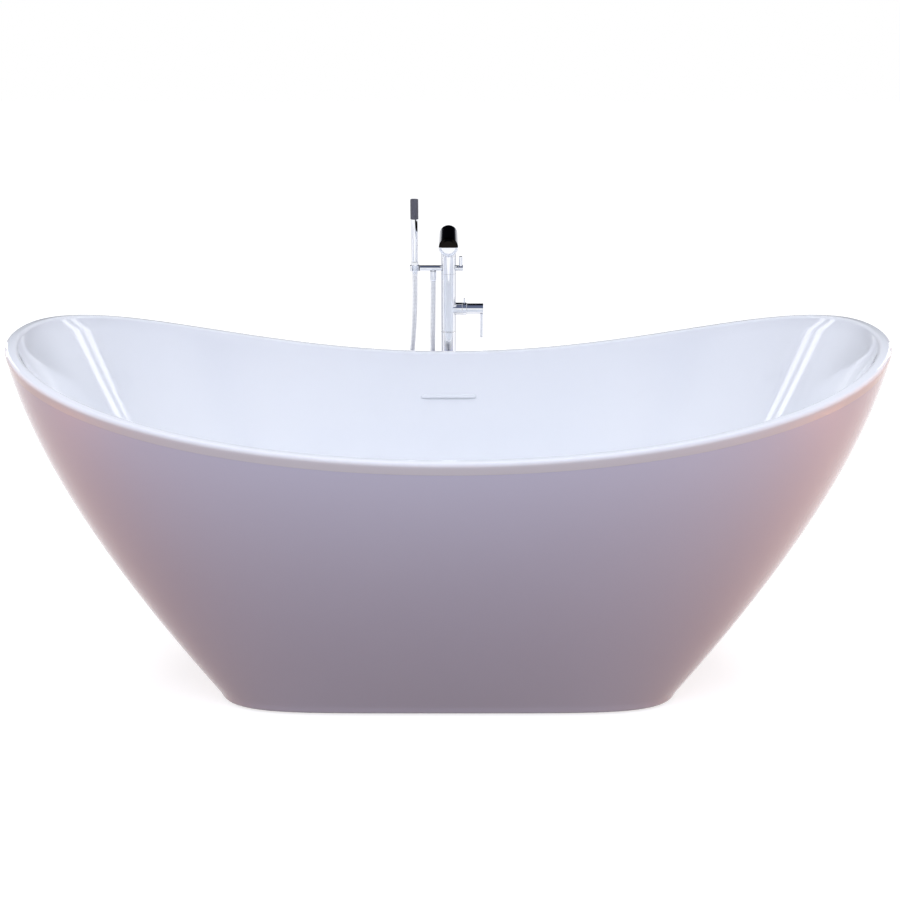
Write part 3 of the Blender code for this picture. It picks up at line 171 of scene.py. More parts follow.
def makeChrome(name, look):
    # Bright plating: faint smears in the polish and the slow ripple of the metal under it
    material, place = startFinish(name, {"Metallic": 1.0, "Specular Tint": look["edgeTint"]})
    smear = noiseAt(place, look["smearScale"], 5.0).between(0.35, 0.8)
    ripple = noiseAt(place, look["rippleScale"], 1.0)
    colour = smear.mixed(look["colour"], look["shade"])
    # Above a given height the colour can turn near-black: a painted reflection of dark surroundings
    if "paintedReflectionAbove" in look:
        height = place.node("SeparateXYZ", {}, {"Vector": place}, 2)
        edge = 0.0003  # half the width of the step from the plating's colour to the painted reflection
        colour = height.between(look["paintedReflectionAbove"] - edge, look["paintedReflectionAbove"] + edge).mixed(
            colour, look["paintedReflectionColour"])
    return endFinish(material, colour,
                     look["gloss"] + smear * look["dullness"], ripple, look["rippleDepth"])


def makePlastic(name, look):
    # Moulded plastic: a fine eroded texture and slightly cloudy colour
    material, place = startFinish(name, {"IOR": 1.5})
    grain = noiseAt(place, look["grainScale"], 3.0)
    cloud = noiseAt(place, look["cloudScale"], 3.0).between(0.3, 0.7)
    return endFinish(material, cloud.mixed(look["colour"], look["shade"]),
                     look["gloss"] + grain * look["dullness"], grain, look["grainDepth"])


def makeBoard(name, look):
    # Chipboard: flakes of several browns pressed flat
    material, place = startFinish(name, {"IOR": 1.45})
    flake = place.node("TexVoronoi", {}, {"Vector": place, "Scale": look["flakeScale"]}, 1)
    flakeTone = flake.node("SeparateColor", {}, {"Color": flake})
    fine = noiseAt(place, look["fineScale"], 4.0)
    return endFinish(material, (flakeTone * 0.7 + fine * 0.3).mixed(look["colour"], look["shade"]),
                     0.7 + 0.2 * fine, fine + flakeTone * 0.4, 0.0003)


def makeZinc(name, look):
    # Galvanised steel: spangles of zinc that shine by turns, with a dull bloom
    material, place = startFinish(name, {"Metallic": 1.0})
    spangle = place.node("TexVoronoi", {}, {"Vector": place, "Scale": look["spangleScale"]}, 1)
    tone = spangle.node("SeparateColor", {}, {"Color": spangle})
    bloom = noiseAt(place, look["bloomScale"], 4.0)
    return endFinish(material, tone.mixed(look["colour"], look["shade"]),
                     look["gloss"] + 0.18 * tone + 0.12 * bloom, bloom, 0.00005)


def makeRingedSteel(name, look):
    # Wound hose: bright crests and grooves darkened by painted shade, taken from the piece's own groove
    # attribute
    material, place = startFinish(name, {"Metallic": 1.0, "Specular Tint": look["edgeTint"]})
    groove = place.node("Attribute", {"attribute_name": "groove"}, {}, 2)
    smear = noiseAt(place, look["smearScale"], 3.0)
    return endFinish(material, (groove * 0.85 + smear * 0.15).mixed(look["colour"], look["shade"]),
                     look["gloss"] + groove * 0.25 + smear * 0.08)


# The chrome's dark edge tint darkens its reflections near the outline: painted shade
chromeLook = {
    "colour": (0.90, 0.91, 0.935), "shade": (0.84, 0.855, 0.89), "smearScale": 30.0,
    "edgeTint": (0.30, 0.31, 0.36, 1.0), "gloss": 0.03, "dullness": 0.04, "rippleScale": 45.0,
    "rippleDepth": 0.00002}
finishes = {
    "white_acrylic": makeAcrylic("whiteAcrylic", {
        "colour": (0.83, 0.85, 0.88), "shade": (0.81, 0.835, 0.87), "driftScale": 1.6,
        "polishScale": 9.0, "gloss": 0.05, "dullness": 0.05, "waveScale": 5.0,
        "peelScale": 160.0, "peelShare": 0.004, "waveDepth": 0.0006}),
    # painted shade: the skirt's colour is a darker, bluer copy of the basin's white acrylic
    "skirt_acrylic": makeAcrylic("shadedSkirtAcrylic", {
        "colour": (0.735, 0.77, 0.93), "shade": (0.715, 0.75, 0.915), "driftScale": 1.4,
        "polishScale": 8.0, "gloss": 0.07, "dullness": 0.06, "waveScale": 4.0,
        "peelScale": 150.0, "peelShare": 0.005, "waveDepth": 0.0008}),
    "chrome": makeChrome("chromePlate", chromeLook),
    "white_plastic": makePlastic("whitePipe", {
        "colour": (0.83, 0.83, 0.84), "shade": (0.78, 0.79, 0.81), "grainScale": 900.0,
        "cloudScale": 12.0, "gloss": 0.30, "dullness": 0.15, "grainDepth": 0.00005}),
    "black_plastic": makePlastic("blackPad", {
        "colour": (0.035, 0.035, 0.04), "shade": (0.06, 0.06, 0.065), "grainScale": 1200.0,
        "cloudScale": 20.0, "gloss": 0.40, "dullness": 0.2, "grainDepth": 0.00008}),
    "grey_plastic": makePlastic("greyHead", {
        "colour": (0.10, 0.10, 0.125), "shade": (0.13, 0.13, 0.155), "grainScale": 1500.0,
        "cloudScale": 30.0, "gloss": 0.26, "dullness": 0.12, "grainDepth": 0.00003}),
    "rubber": makePlastic("blackRubber", {
        "colour": (0.022, 0.022, 0.023), "shade": (0.04, 0.039, 0.038), "grainScale": 700.0,
        "cloudScale": 25.0, "gloss": 0.62, "dullness": 0.25, "grainDepth": 0.0001}),
    "board": makeBoard("chipboard", {
        "colour": (0.33, 0.22, 0.12), "shade": (0.66, 0.50, 0.32), "flakeScale": 160.0,
        "fineScale": 420.0}),
    "galvanised_steel": makeZinc("galvanisedSteel", {
        "colour": (0.50, 0.52, 0.55), "shade": (0.66, 0.67, 0.70), "spangleScale": 90.0,
        "bloomScale": 35.0, "gloss": 0.28}),
    "brass": makeChrome("pressedBrass", {
        "colour": (0.78, 0.58, 0.27), "shade": (0.62, 0.43, 0.19), "smearScale": 60.0,
        "edgeTint": (1.0, 0.9, 0.7, 1.0), "gloss": 0.20, "dullness": 0.22, "rippleScale": 120.0,
        "rippleDepth": 0.00005}),
    # The hose's shade colour, laid in the grooves, and its dark edge tint are painted shade
    "silver_hose": makeRingedSteel("woundHose", {
        "colour": (0.96, 0.965, 0.98), "shade": (0.62, 0.63, 0.67), "smearScale": 60.0,
        "edgeTint": (0.40, 0.40, 0.44, 1.0), "gloss": 0.24}),
}
print("materials made:", len(finishes))


# Making and finishing pieces
def openShape(name, bm, slot, sharpAngle=35.0):
    mesh = bpy.data.meshes.new(name)
    bm.to_mesh(mesh)
    bm.free()
    mesh.shade_smooth()
    mesh.set_sharp_from_angle(angle=math.radians(sharpAngle))
    mesh.materials.append(finishes[slot])
    piece = bpy.data.objects.new(name, mesh)
    bpy.context.scene.collection.objects.link(piece)
    return piece


def closePiece(piece, slot, body, *nodes):
    # The piece moves with its body and stands for its nodes; its slot decides whether its normals are evened
    if slot not in ("white_acrylic", "skirt_acrylic", "silver_hose"):
        evened = piece.modifiers.new("evened", "WEIGHTED_NORMAL")  # long faces keep a true shine
        evened.keep_sharp = True
        evened.weight = 100
        settle(piece)
    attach(piece, body)
    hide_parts(*nodes)
    return piece


def settle(piece):
    # Writes the piece's modifiers into its mesh
    made = bpy.data.meshes.new_from_object(piece.evaluated_get(bpy.context.evaluated_depsgraph_get()))
    made.name = piece.name
    piece.modifiers.clear()
    piece.data = made


def carve(piece, tool, operation="DIFFERENCE", sharpAngle=35.0):
    change = piece.modifiers.new("carve", "BOOLEAN")
    change.operation = operation
    change.solver = "EXACT"
    change.object = tool
    settle(piece)
    piece.data.set_sharp_from_angle(angle=math.radians(sharpAngle))
    bpy.data.objects.remove(tool, do_unlink=True)


fitGap = 0.0002  # air between two pieces that meet
pinGap = 0.0001  # air round a pin in its hole
lay = {
    "up": Matrix.Identity(4),
    "right": Matrix.Rotation(math.pi / 2, 4, "Y"),
    "front": Matrix.Rotation(math.pi / 2, 4, "X"),
    "down": Matrix.Rotation(math.pi, 4, "X"),
}


def turned(name, slot, profile, foot, direction="up", steps=96, closed=False, roundSteps=5):
    # Turns (radius, height, rounding) points about an axis from the foot
    bm = bmesh.new()
    corners = [(bm.verts.new((radius, 0, height)), rounding) for radius, height, rounding in profile]
    line = [corner for corner, _ in corners]
    for first, second in zip(line, line[1:]):
        bm.edges.new((first, second))
    if closed:
        bm.edges.new((line[-1], line[0]))
    for corner, rounding in corners:
        if rounding:
            bmesh.ops.bevel(bm, geom=[corner], offset=rounding, offset_type="OFFSET",
                            segments=roundSteps, profile=0.5, affect="VERTICES", material=-1)
    bmesh.ops.spin(bm, geom=bm.verts[:] + bm.edges[:], cent=(0, 0, 0), axis=(0, 0, 1), dvec=(0, 0, 0),
                   angle=math.tau, steps=steps, use_merge=True)
    bmesh.ops.remove_doubles(bm, verts=bm.verts[:], dist=0.000001)
    bmesh.ops.recalc_face_normals(bm, faces=bm.faces[:])
    bm.transform(Matrix.Translation(foot) @ lay[direction])
    return openShape(name, bm, slot)


def smoothRoute(points, spacing):
    # Points at an even spacing on a smooth line through the given ones
    points = [Vector(point) for point in points]
    padded = [2 * points[0] - points[1]] + points + [2 * points[-1] - points[-2]]
    dense = []
    for a, b, c, d in zip(padded, padded[1:], padded[2:], padded[3:]):
        for step in range(48):
            t = step / 48
            dense.append(0.5 * (2 * b + (c - a) * t + (2 * a - 5 * b + 4 * c - d) * t * t
                                + (3 * b - a - 3 * c + d) * t ** 3))
    dense.append(points[-1])
    lengths = [0.0]
    for first, second in zip(dense, dense[1:]):
        lengths.append(lengths[-1] + (second - first).length)
    count = round(lengths[-1] / spacing)
    route = []
    index = 0
    for number in range(count + 1):
        target = lengths[-1] * number / count
        while index < len(lengths) - 2 and lengths[index + 1] < target:
            index += 1
        share = (target - lengths[index]) / (lengths[index + 1] - lengths[index])
        route.append(dense[index].lerp(dense[index + 1], share))
    return route


# Hose: 1.5 m, hanging in one loop between the hand shower and the crossbar
hoseFacts = {
    "length": 1.50,
    "diameter": 0.012,
    "pitch": 0.0032,  # from one winding to the next
    "grooveDepth": 0.0006,
    "sides": 20,
    "swell": (0.0, 0.15, 1.0, 0.15),  # how deep the groove is at each quarter of a winding
    "stillHeight": 0.73,  # the end on the crossbar stays still from here
    "arrival": (-0.0767, 0.7259),  # x and height of the end that moves with the hand shower
    "route": [  # (x, y, z) from the column's foot
        (-0.0786, 0.000, 0.7437), (-0.0787, 0.000, 0.7000), (-0.0805, 0.000, 0.6400),
        (-0.0865, 0.001, 0.5600), (-0.0970, 0.003, 0.4700), (-0.1105, 0.006, 0.3800),
        (-0.1245, 0.009, 0.2900), (-0.1385, 0.012, 0.2000), (-0.1480, 0.014, 0.1300),
        (-0.1500, 0.015, 0.0780), (-0.1423, 0.015, 0.0492), (-0.1213, 0.015, 0.0282),
        (-0.0925, 0.015, 0.0205), (-0.0637, 0.015, 0.0282), (-0.0427, 0.015, 0.0492),
        (-0.0350, 0.015, 0.0780), (-0.0330, 0.014, 0.1300), (-0.0325, 0.013, 0.2100),
        (-0.0335, 0.011, 0.3000), (-0.0360, 0.008, 0.4100), (-0.0375, 0.004, 0.5200),
        (-0.0372, 0.001, 0.6200), (-0.0362, 0.000, 0.6900), (-0.0360, 0.000, 0.7267)],
}


def buildHose(facts):
    # A ring is drawn along the route, its radius and groove value rising and falling with each winding
    foot = Vector((0, fillerY, 0))
    route = [foot + point for point in smoothRoute(facts["route"], facts["pitch"] / 4)]
    sides = facts["sides"]
    swell = facts["swell"]
    bm = bmesh.new()
    place = bm.verts.layers.int.new("place")
    groove = bm.verts.layers.float.new("groove")
    ring = bmesh.ops.create_circle(bm, segments=sides, radius=facts["diameter"] / 2)["verts"]
    for number, vertex in enumerate(ring):
        vertex[place] = number
    edges = bm.edges[:]
    across = Vector((0, 1, 0))
    for step, point in enumerate(route):
        if step:
            made = bmesh.ops.extrude_edge_only(bm, edges=edges)["geom"]
            edges = [item for item in made if isinstance(item, bmesh.types.BMEdge)
                     and len(item.link_faces) == 1]
            ring = [item for item in made if isinstance(item, bmesh.types.BMVert)]
        ahead = route[min(step + 1, len(route) - 1)] - route[max(step - 1, 0)]
        across = (across - ahead * across.dot(ahead) / ahead.length_squared).normalized()
        third = ahead.normalized().cross(across)
        inside = step % 4 if 3 < step < len(route) - 4 else 0
        radius = facts["diameter"] / 2 - facts["grooveDepth"] * swell[inside]
        for vertex in ring:
            angle = math.tau * vertex[place] / sides
            vertex.co = point + (across * math.cos(angle) + third * math.sin(angle)) * radius
            # The groove value also darkens the hose's colour there: painted shade
            vertex[groove] = swell[inside]
    bmesh.ops.holes_fill(bm, edges=[edge for edge in bm.edges if edge.is_boundary], sides=sides)
    bmesh.ops.recalc_face_normals(bm, faces=bm.faces[:])
    hose = openShape("woundHose", bm, "silver_hose", 80.0)
    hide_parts("hose")
    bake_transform(hose)


buildHose(hoseFacts)
print("hose made")


# Tub
tub = {
    "sideHeight": 0.575,  # top of the rim at the middle of a long side
    "endLean": 0.387,  # how far the base is in from the rim at each end
    "sideLean": 0.144,
    "endSlope": 0.450,  # how far the basin's floor is in from the rim at each end
    "sideSlope": 0.200,
    "rimPowerAlong": 4.35,
    "rimPowerAcross": 2.10,
    "basePower": 5.9,
    "floorPower": 2.8,
    "saddlePower": 2.0,
    "swellLow": 0.448,
    "swellHigh": 0.253,
    "rimWidth": 0.025,
    "outerRound": 0.008,
    "innerRound": 0.009,
    "lipDepth": 0.022,
    "floorHeight": 0.150,
    "floorFall": 0.006,
    "sumpRadius": 0.110,
    "drainRadius": 0.026,
    "floorClearance": 0.003,
    "footRound": 0.010,
    "footTurnIn": 0.022,
    "wall": 0.006,
    "wallRun": (0.30, 0.45),  # how far in the inside wall's two control points lie
    "wallDrop": 0.45,
    "fallShares": (0.12, 0.3, 0.55, 0.8),  # where the floor's rings lie on the way to the sump
    "sumpRings": (0.06, 0.034),
    "tongue": 0.010,  # how far the skirt's top reaches up behind the lip
    "ringPoints": 240,
    "basinWallSteps": 36,
    "skirtWallSteps": 34,
}
halfLength = (basinHigh.x - basinLow.x) / 2
halfWidth = (basinHigh.y - basinLow.y) / 2
endHeight = basinHigh.z


def superOutline(halfAlong, halfAcross, powerAlong, powerAcross):
    # |x/a|^m + |y/b|^n = 1, its points spread evenly along each quarter
    dense = []
    for step in range(2001):
        angle = math.pi / 2 * step / 2000
        dense.append(Vector((halfAlong * math.cos(angle) ** (2 / powerAlong),
                             halfAcross * math.sin(angle) ** (2 / powerAcross))))
    lengths = [0.0]
    for first, second in zip(dense, dense[1:]):
        lengths.append(lengths[-1] + (second - first).length)
    quarter = []
    perQuarter = tub["ringPoints"] // 4
    index = 0
    for number in range(perQuarter + 1):
        target = lengths[-1] * number / perQuarter
        while index < len(lengths) - 2 and lengths[index + 1] < target:
            index += 1
        share = (target - lengths[index]) / (lengths[index + 1] - lengths[index])
        quarter.append(dense[index].lerp(dense[index + 1], share))
    quarter[-1].x = 0.0
    ring = [point.copy() for point in quarter]
    ring += [Vector((-point.x, point.y)) for point in reversed(quarter[:-1])]
    ring += [Vector((-point.x, -point.y)) for point in quarter[1:]]
    ring += [Vector((point.x, -point.y)) for point in reversed(quarter[1:-1])]
    return ring


rimLine = superOutline(halfLength, halfWidth, tub["rimPowerAlong"], tub["rimPowerAcross"])
baseLine = superOutline(halfLength - tub["endLean"], halfWidth - tub["sideLean"],
                        tub["basePower"], tub["basePower"])
floorLine = superOutline(halfLength - tub["endSlope"], halfWidth - tub["sideSlope"],
                         tub["floorPower"], tub["floorPower"])
rimHeights = [tub["sideHeight"] + (endHeight - tub["sideHeight"])
              * abs(point.x / halfLength) ** tub["saddlePower"] for point in rimLine]


def outsidePoint(index, height):
    # The outer face leans out to the rim on a swelling line
    clearance = tub["floorClearance"]
    rise = (height - clearance) / (rimHeights[index] - tub["outerRound"] - clearance)
    share = rise + rise * (1 - rise) * (tub["swellLow"] + tub["swellHigh"] * rise)
    flat = baseLine[index].lerp(rimLine[index], share)
    return Vector((flat.x, flat.y, height))


def ringBelowRim(drop):
    return [outsidePoint(index, height - drop) for index, height in enumerate(rimHeights)]


def movedIn(ring, distance, lift=0.0):
    # The ring moved in towards the middle, square to its own line
    moved = []
    count = len(ring)
    for index, point in enumerate(ring):
        along = ring[(index + 1) % count] - ring[index - 1]
        across = Vector((-along.y, along.x)).normalized()
        moved.append(Vector((point.x + across.x * distance, point.y + across.y * distance,
                             point.z + lift)))
    return moved


def roundRing(radius, height):
    count = tub["ringPoints"]
    return [Vector((radius * math.cos(math.tau * number / count),
                    radius * math.sin(math.tau * number / count), height)) for number in range(count)]


innerEdge = movedIn(ringBelowRim(tub["outerRound"]), tub["rimWidth"])


def basinWallRing(share):
    # The inside wall, part way down from the rim to the edge of the floor, on a cubic line
    ring = []
    for index, point in enumerate(innerEdge):
        top = Vector((point.x, point.y, rimHeights[index] - tub["innerRound"]))
        foot = Vector((*floorLine[index], tub["floorHeight"]))
        run = Vector((foot.x - top.x, foot.y - top.y, 0.0))
        upper = top + run * tub["wallRun"][0] + Vector((0, 0, (foot.z - top.z) * tub["wallDrop"]))
        lower = foot - run * tub["wallRun"][1]
        left = 1 - share
        ring.append(top * left ** 3 + upper * 3 * share * left ** 2
                    + lower * 3 * share ** 2 * left + foot * share ** 3)
    return ring


def backWallAt(height):
    # Depth and lean of the inside back wall at the middle of the tub
    middle = tub["ringPoints"] // 4
    low = 0.0
    high = 1.0
    for _ in range(30):
        share = (low + high) / 2
        if basinWallRing(share)[middle].z > height:
            low = share
        else:
            high = share
    above = basinWallRing(share - 0.01)[middle]
    below = basinWallRing(share + 0.01)[middle]
    return basinWallRing(share)[middle].y, math.atan2(above.y - below.y, above.z - below.z)


def ringShell(name, slot, rings, wall):
    # One ring of edges drawn out through the others, then thickened away from its seen side
    bm = bmesh.new()
    place = bm.verts.layers.int.new("place")
    verts = bmesh.ops.create_circle(bm, segments=len(rings[0]), radius=1.0)["verts"]
    for number, vertex in enumerate(verts):
        vertex[place] = number
    edges = bm.edges[:]
    for step, ring in enumerate(rings):
        if step:
            made = bmesh.ops.extrude_edge_only(bm, edges=edges)["geom"]
            edges = [item for item in made if isinstance(item, bmesh.types.BMEdge)
                     and len(item.link_faces) == 1]
            verts = [item for item in made if isinstance(item, bmesh.types.BMVert)]
        for vertex in verts:
            vertex.co = ring[vertex[place]]
    bmesh.ops.translate(bm, verts=bm.verts[:], vec=(0, tubY, 0))
    outward = sum((face.normal.dot(face.calc_center_median() - Vector((0, tubY, 0.3)))
                   for face in bm.faces[:len(rings[0])]), 0.0)
    if outward < 0:
        bmesh.ops.reverse_faces(bm, faces=bm.faces[:])
    piece = openShape(name, bm, slot, 60.0)
    thick = piece.modifiers.new("wall", "SOLIDIFY")
    thick.thickness = wall
    thick.offset = -1.0
    thick.use_even_offset = True
    thick.use_quality_normals = True
    return piece


def buildBasin(facts):
    edge = ringBelowRim(facts["outerRound"])
    rings = [ringBelowRim(facts["lipDepth"] + (facts["outerRound"] - facts["lipDepth"]) * step / 3)
             for step in range(4)]
    for degrees in range(10, 91, 10):
        angle = math.radians(degrees)
        rings.append(movedIn(edge, facts["outerRound"] * (1 - math.cos(angle)),
                             facts["outerRound"] * math.sin(angle)))
    for degrees in range(0, 80, 10):
        angle = math.radians(degrees)
        rings.append(movedIn(edge, facts["rimWidth"] - facts["innerRound"] * (1 - math.sin(angle)),
                             facts["outerRound"] - facts["innerRound"] * (1 - math.cos(angle))))
    steps = facts["basinWallSteps"]
    rings += [basinWallRing(step / steps) for step in range(steps + 1)]
    sump = roundRing(facts["sumpRadius"], facts["floorHeight"] - facts["floorFall"])
    flat = rings[-1]
    for share in facts["fallShares"]:
        fall = share * share * (3 - 2 * share)
        ring = [outer.lerp(inner, share) for outer, inner in zip(flat, sump)]
        for point in ring:
            point.z = facts["floorHeight"] - facts["floorFall"] * fall
        rings.append(ring)
    rings.append(sump)
    for radius in (*facts["sumpRings"], facts["drainRadius"]):
        rings.append(roundRing(radius, sump[0].z))
    return ringShell("basinShell", "white_acrylic", rings, facts["wall"])


def buildSkirt(facts):
    footHeight = facts["floorClearance"] + facts["footRound"]
    foot = [outsidePoint(index, footHeight) for index in range(facts["ringPoints"])]
    rings = [movedIn(foot, facts["footTurnIn"], -facts["footRound"])]
    for degrees in range(0, 90, 15):
        angle = math.radians(degrees)
        rings.append(movedIn(foot, facts["footRound"] * (1 - math.sin(angle)),
                             -facts["footRound"] * math.cos(angle)))
    steps = facts["skirtWallSteps"]
    for step in range(steps + 1):
        rings.append([outsidePoint(index, footHeight + (top - facts["lipDepth"] - fitGap - footHeight)
                                   * step / steps) for index, top in enumerate(rimHeights)])
    behindLip = facts["wall"] + 2 * fitGap
    rings.append(movedIn(rings[-1], behindLip))
    rings.append(movedIn(ringBelowRim(facts["lipDepth"] - facts["tongue"]), behindLip))
    return ringShell("skirtShell", "skirt_acrylic", rings, facts["wall"])


basin = buildBasin(tub)
skirt = buildSkirt(tub)
closePiece(skirt, "skirt_acrylic", "root", "outer_skirt")
print("tub shells made")


# Overflow: a low capsule hood on the back wall, open along its underside
hood = {
    "height": 0.478,
    "width": 0.128,
    "face": 0.0095,
    "depth": 0.0050,
    "rounding": 0.0022,
    "mouthWidth": 0.116,
    "mouthHeight": 0.0050,
    "sleeveGrowth": 0.0024,  # how much the sleeve through the wall is larger than the mouth
    "slotGrowth": 0.003,
    "faceWall": 0.0015,
    "backWall": 0.0012,
    "endWall": 0.007,
}
hoodDepth, hoodLean = backWallAt(hood["height"])
hoodPlace = (Matrix.Translation((0, tubY + hoodDepth, hood["height"]))
             @ Matrix.Rotation(-hoodLean, 4, "X"))


def capsule(name, slot, width, height, front, back, rounding=0.0):
    # A bar with round ends, lying along X on the wall, its front edge rounded
    bm = bmesh.new()
    ends = bmesh.ops.create_circle(bm, cap_ends=True, segments=64, radius=height / 2)["verts"]
    for vertex in ends:
        if abs(vertex.co.x) > height * 0.005:
            vertex.co.x += math.copysign((width - height) / 2, vertex.co.x)
    bmesh.ops.rotate(bm, verts=bm.verts[:], cent=(0, 0, 0), matrix=Matrix.Rotation(math.pi / 2, 3, "X"))
    bmesh.ops.translate(bm, verts=bm.verts[:], vec=(0, back, 0))
    grown = bmesh.ops.extrude_face_region(bm, geom=bm.faces[:])["geom"]
    fore = [item for item in grown if isinstance(item, bmesh.types.BMVert)]
    bmesh.ops.translate(bm, verts=fore, vec=(0, front - back, 0))
    bmesh.ops.recalc_face_normals(bm, faces=bm.faces[:])
    if rounding:
        rim = [edge for edge in bm.edges if all(vertex in fore for vertex in edge.verts)]
        bmesh.ops.bevel(bm, geom=rim, offset=rounding, offset_type="OFFSET", segments=6, profile=0.5,
                        affect="EDGES", material=-1, clamp_overlap=True)
    bm.transform(hoodPlace)
    return openShape(name, bm, slot)


def boxTool(low, high, place):
    bm = bmesh.new()
    bmesh.ops.create_cube(bm, size=1.0)
    size = [b - a for a, b in zip(low, high)]
    middle = [(a + b) / 2 for a, b in zip(low, high)]
    bmesh.ops.scale(bm, verts=bm.verts[:], vec=size)
    bmesh.ops.translate(bm, verts=bm.verts[:], vec=middle)
    bm.transform(place)
    return openShape("boxTool", bm, "chrome")


def rodTool(start, end, radius, steps=64, endRadius=None):
    start = Vector(start)
    end = Vector(end)
    bm = bmesh.new()
    bmesh.ops.create_cone(bm, cap_ends=True, segments=steps, radius1=radius,
                          radius2=radius if endRadius is None else endRadius, depth=(end - start).length)
    bm.transform(Matrix.Translation((start + end) / 2) @ (end - start).to_track_quat("Z", "Y")
                 .to_matrix().to_4x4())
    return openShape("rodTool", bm, "chrome")


def buildHood(facts):
    cover = capsule("overflowCover", "white_acrylic", facts["width"], facts["face"],
                    -facts["depth"] - fitGap, 0.0, facts["rounding"])
    carve(cover, capsule("sleeve", "white_acrylic", facts["mouthWidth"] + facts["sleeveGrowth"],
                         facts["mouthHeight"] + facts["sleeveGrowth"], -0.001,
                         facts["depth"] + 0.002), "UNION")
    behindFace = facts["faceWall"] - facts["depth"]
    carve(cover, capsule("mouth", "white_acrylic", facts["mouthWidth"], facts["mouthHeight"],
                         behindFace, 0.03))
    entry = facts["width"] / 2 - facts["endWall"]
    carve(cover, boxTool((-entry, behindFace, -facts["face"]), (entry, -facts["backWall"], 0), hoodPlace))
    closePiece(cover, "white_acrylic", "root", "overflow_hood")
    carve(basin, capsule("wallSlot", "white_acrylic", facts["mouthWidth"] + facts["slotGrowth"],
                         facts["mouthHeight"] + facts["slotGrowth"], -0.02, 0.03), sharpAngle=60.0)
    closePiece(basin, "white_acrylic", "root", "basin")


buildHood(hood)
print("overflow made")


# Waste and plug
plugLow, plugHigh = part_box("plug_cap")
plug = {
    "radius": 0.0315,
    "crown": 0.0022,  # how much the cap rises from its edge to its middle
    "side": 0.0042,  # from the top of the cap down to its straight side
}


def buildPlug(facts):
    top = plugHigh.z
    cap = turned("plugCap", "chrome", [
        (0, top, 0), (facts["radius"] * 0.45, top - facts["crown"] * 0.22, 0.006),
        (facts["radius"] * 0.86, top - facts["crown"], 0.004), (facts["radius"], top - facts["side"], 0.0016),
        (facts["radius"], plugLow.z, 0.0004), (0, plugLow.z, 0)], (0, tubY, 0))
    closePiece(cap, "chrome", "plug", "plug_cap")


buildPlug(plug)
print("plug made")


# Filler column and floor flange
column = {
    "edge": 0.0003,  # rounding of the plain cut edges
    "wall": 0.002,
    "coverRound": 0.0040,
    "anchorRadius": 0.0402,
    "anchorRoof": 0.0054,
}
columnRadius = (columnHigh.x - columnLow.x) / 2
columnFoot = Vector((0, fillerY, 0))


def buildColumn(facts):
    coverLow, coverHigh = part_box("flange_cover")
    outer = (coverHigh.x - coverLow.x) / 2
    bore = columnRadius + fitGap
    cover = turned("floorFlange", "chrome", [
        (bore, coverHigh.z, 0.0004), (outer, coverHigh.z, facts["coverRound"]),
        (outer, 0, 0.0003), (facts["anchorRadius"], 0, 0),
        (facts["anchorRadius"], facts["anchorRoof"], 0), (bore, facts["anchorRoof"], 0)],
        columnFoot, closed=True, roundSteps=8)
    closePiece(cover, "chrome", "root", "flange_cover")
    inner = columnRadius - facts["wall"]
    for name, node in (("columnTube", "column_lower"), ("columnJoint", "column_collar")):
        low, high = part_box(node)
        outer = (high.x - low.x) / 2
        tubeWall = turned(name, "chrome", [
            (inner, high.z, 0), (outer, high.z, facts["edge"]), (outer, low.z, facts["edge"]),
            (inner, low.z, 0)], columnFoot, closed=True, roundSteps=3)
        closePiece(tubeWall, "chrome", "root", node)


buildColumn(column)


# Mixer
mixer = {
    "height": 0.661,
    "branchRadius": 0.0145,
    "branchEnd": 0.032,
    "chamberRadius": 0.0094,
    "chamberDepth": 0.024,
    "edge": 0.0004,
    "jointEdge": 0.0001,
    "footEdge": 0.0002,
    "spindleBore": 0.0042,
    "capSocket": 0.018,
    "capRound": 0.0012,
    "leverRound": 0.0010,
    "pinRound": 0.0006,
}
mixerAxis = Vector((0, fillerY, mixer["height"]))


def roundedRod(name, slot, radius, near, far, foot, direction, rounding, steps=48):
    # A rod from its near end to its far end, with a rounded tip at the far one
    return turned(name, slot, [(0, far, 0), (radius, far, rounding), (radius, near, 0.0002), (0, near, 0)],
                  foot, direction, steps)


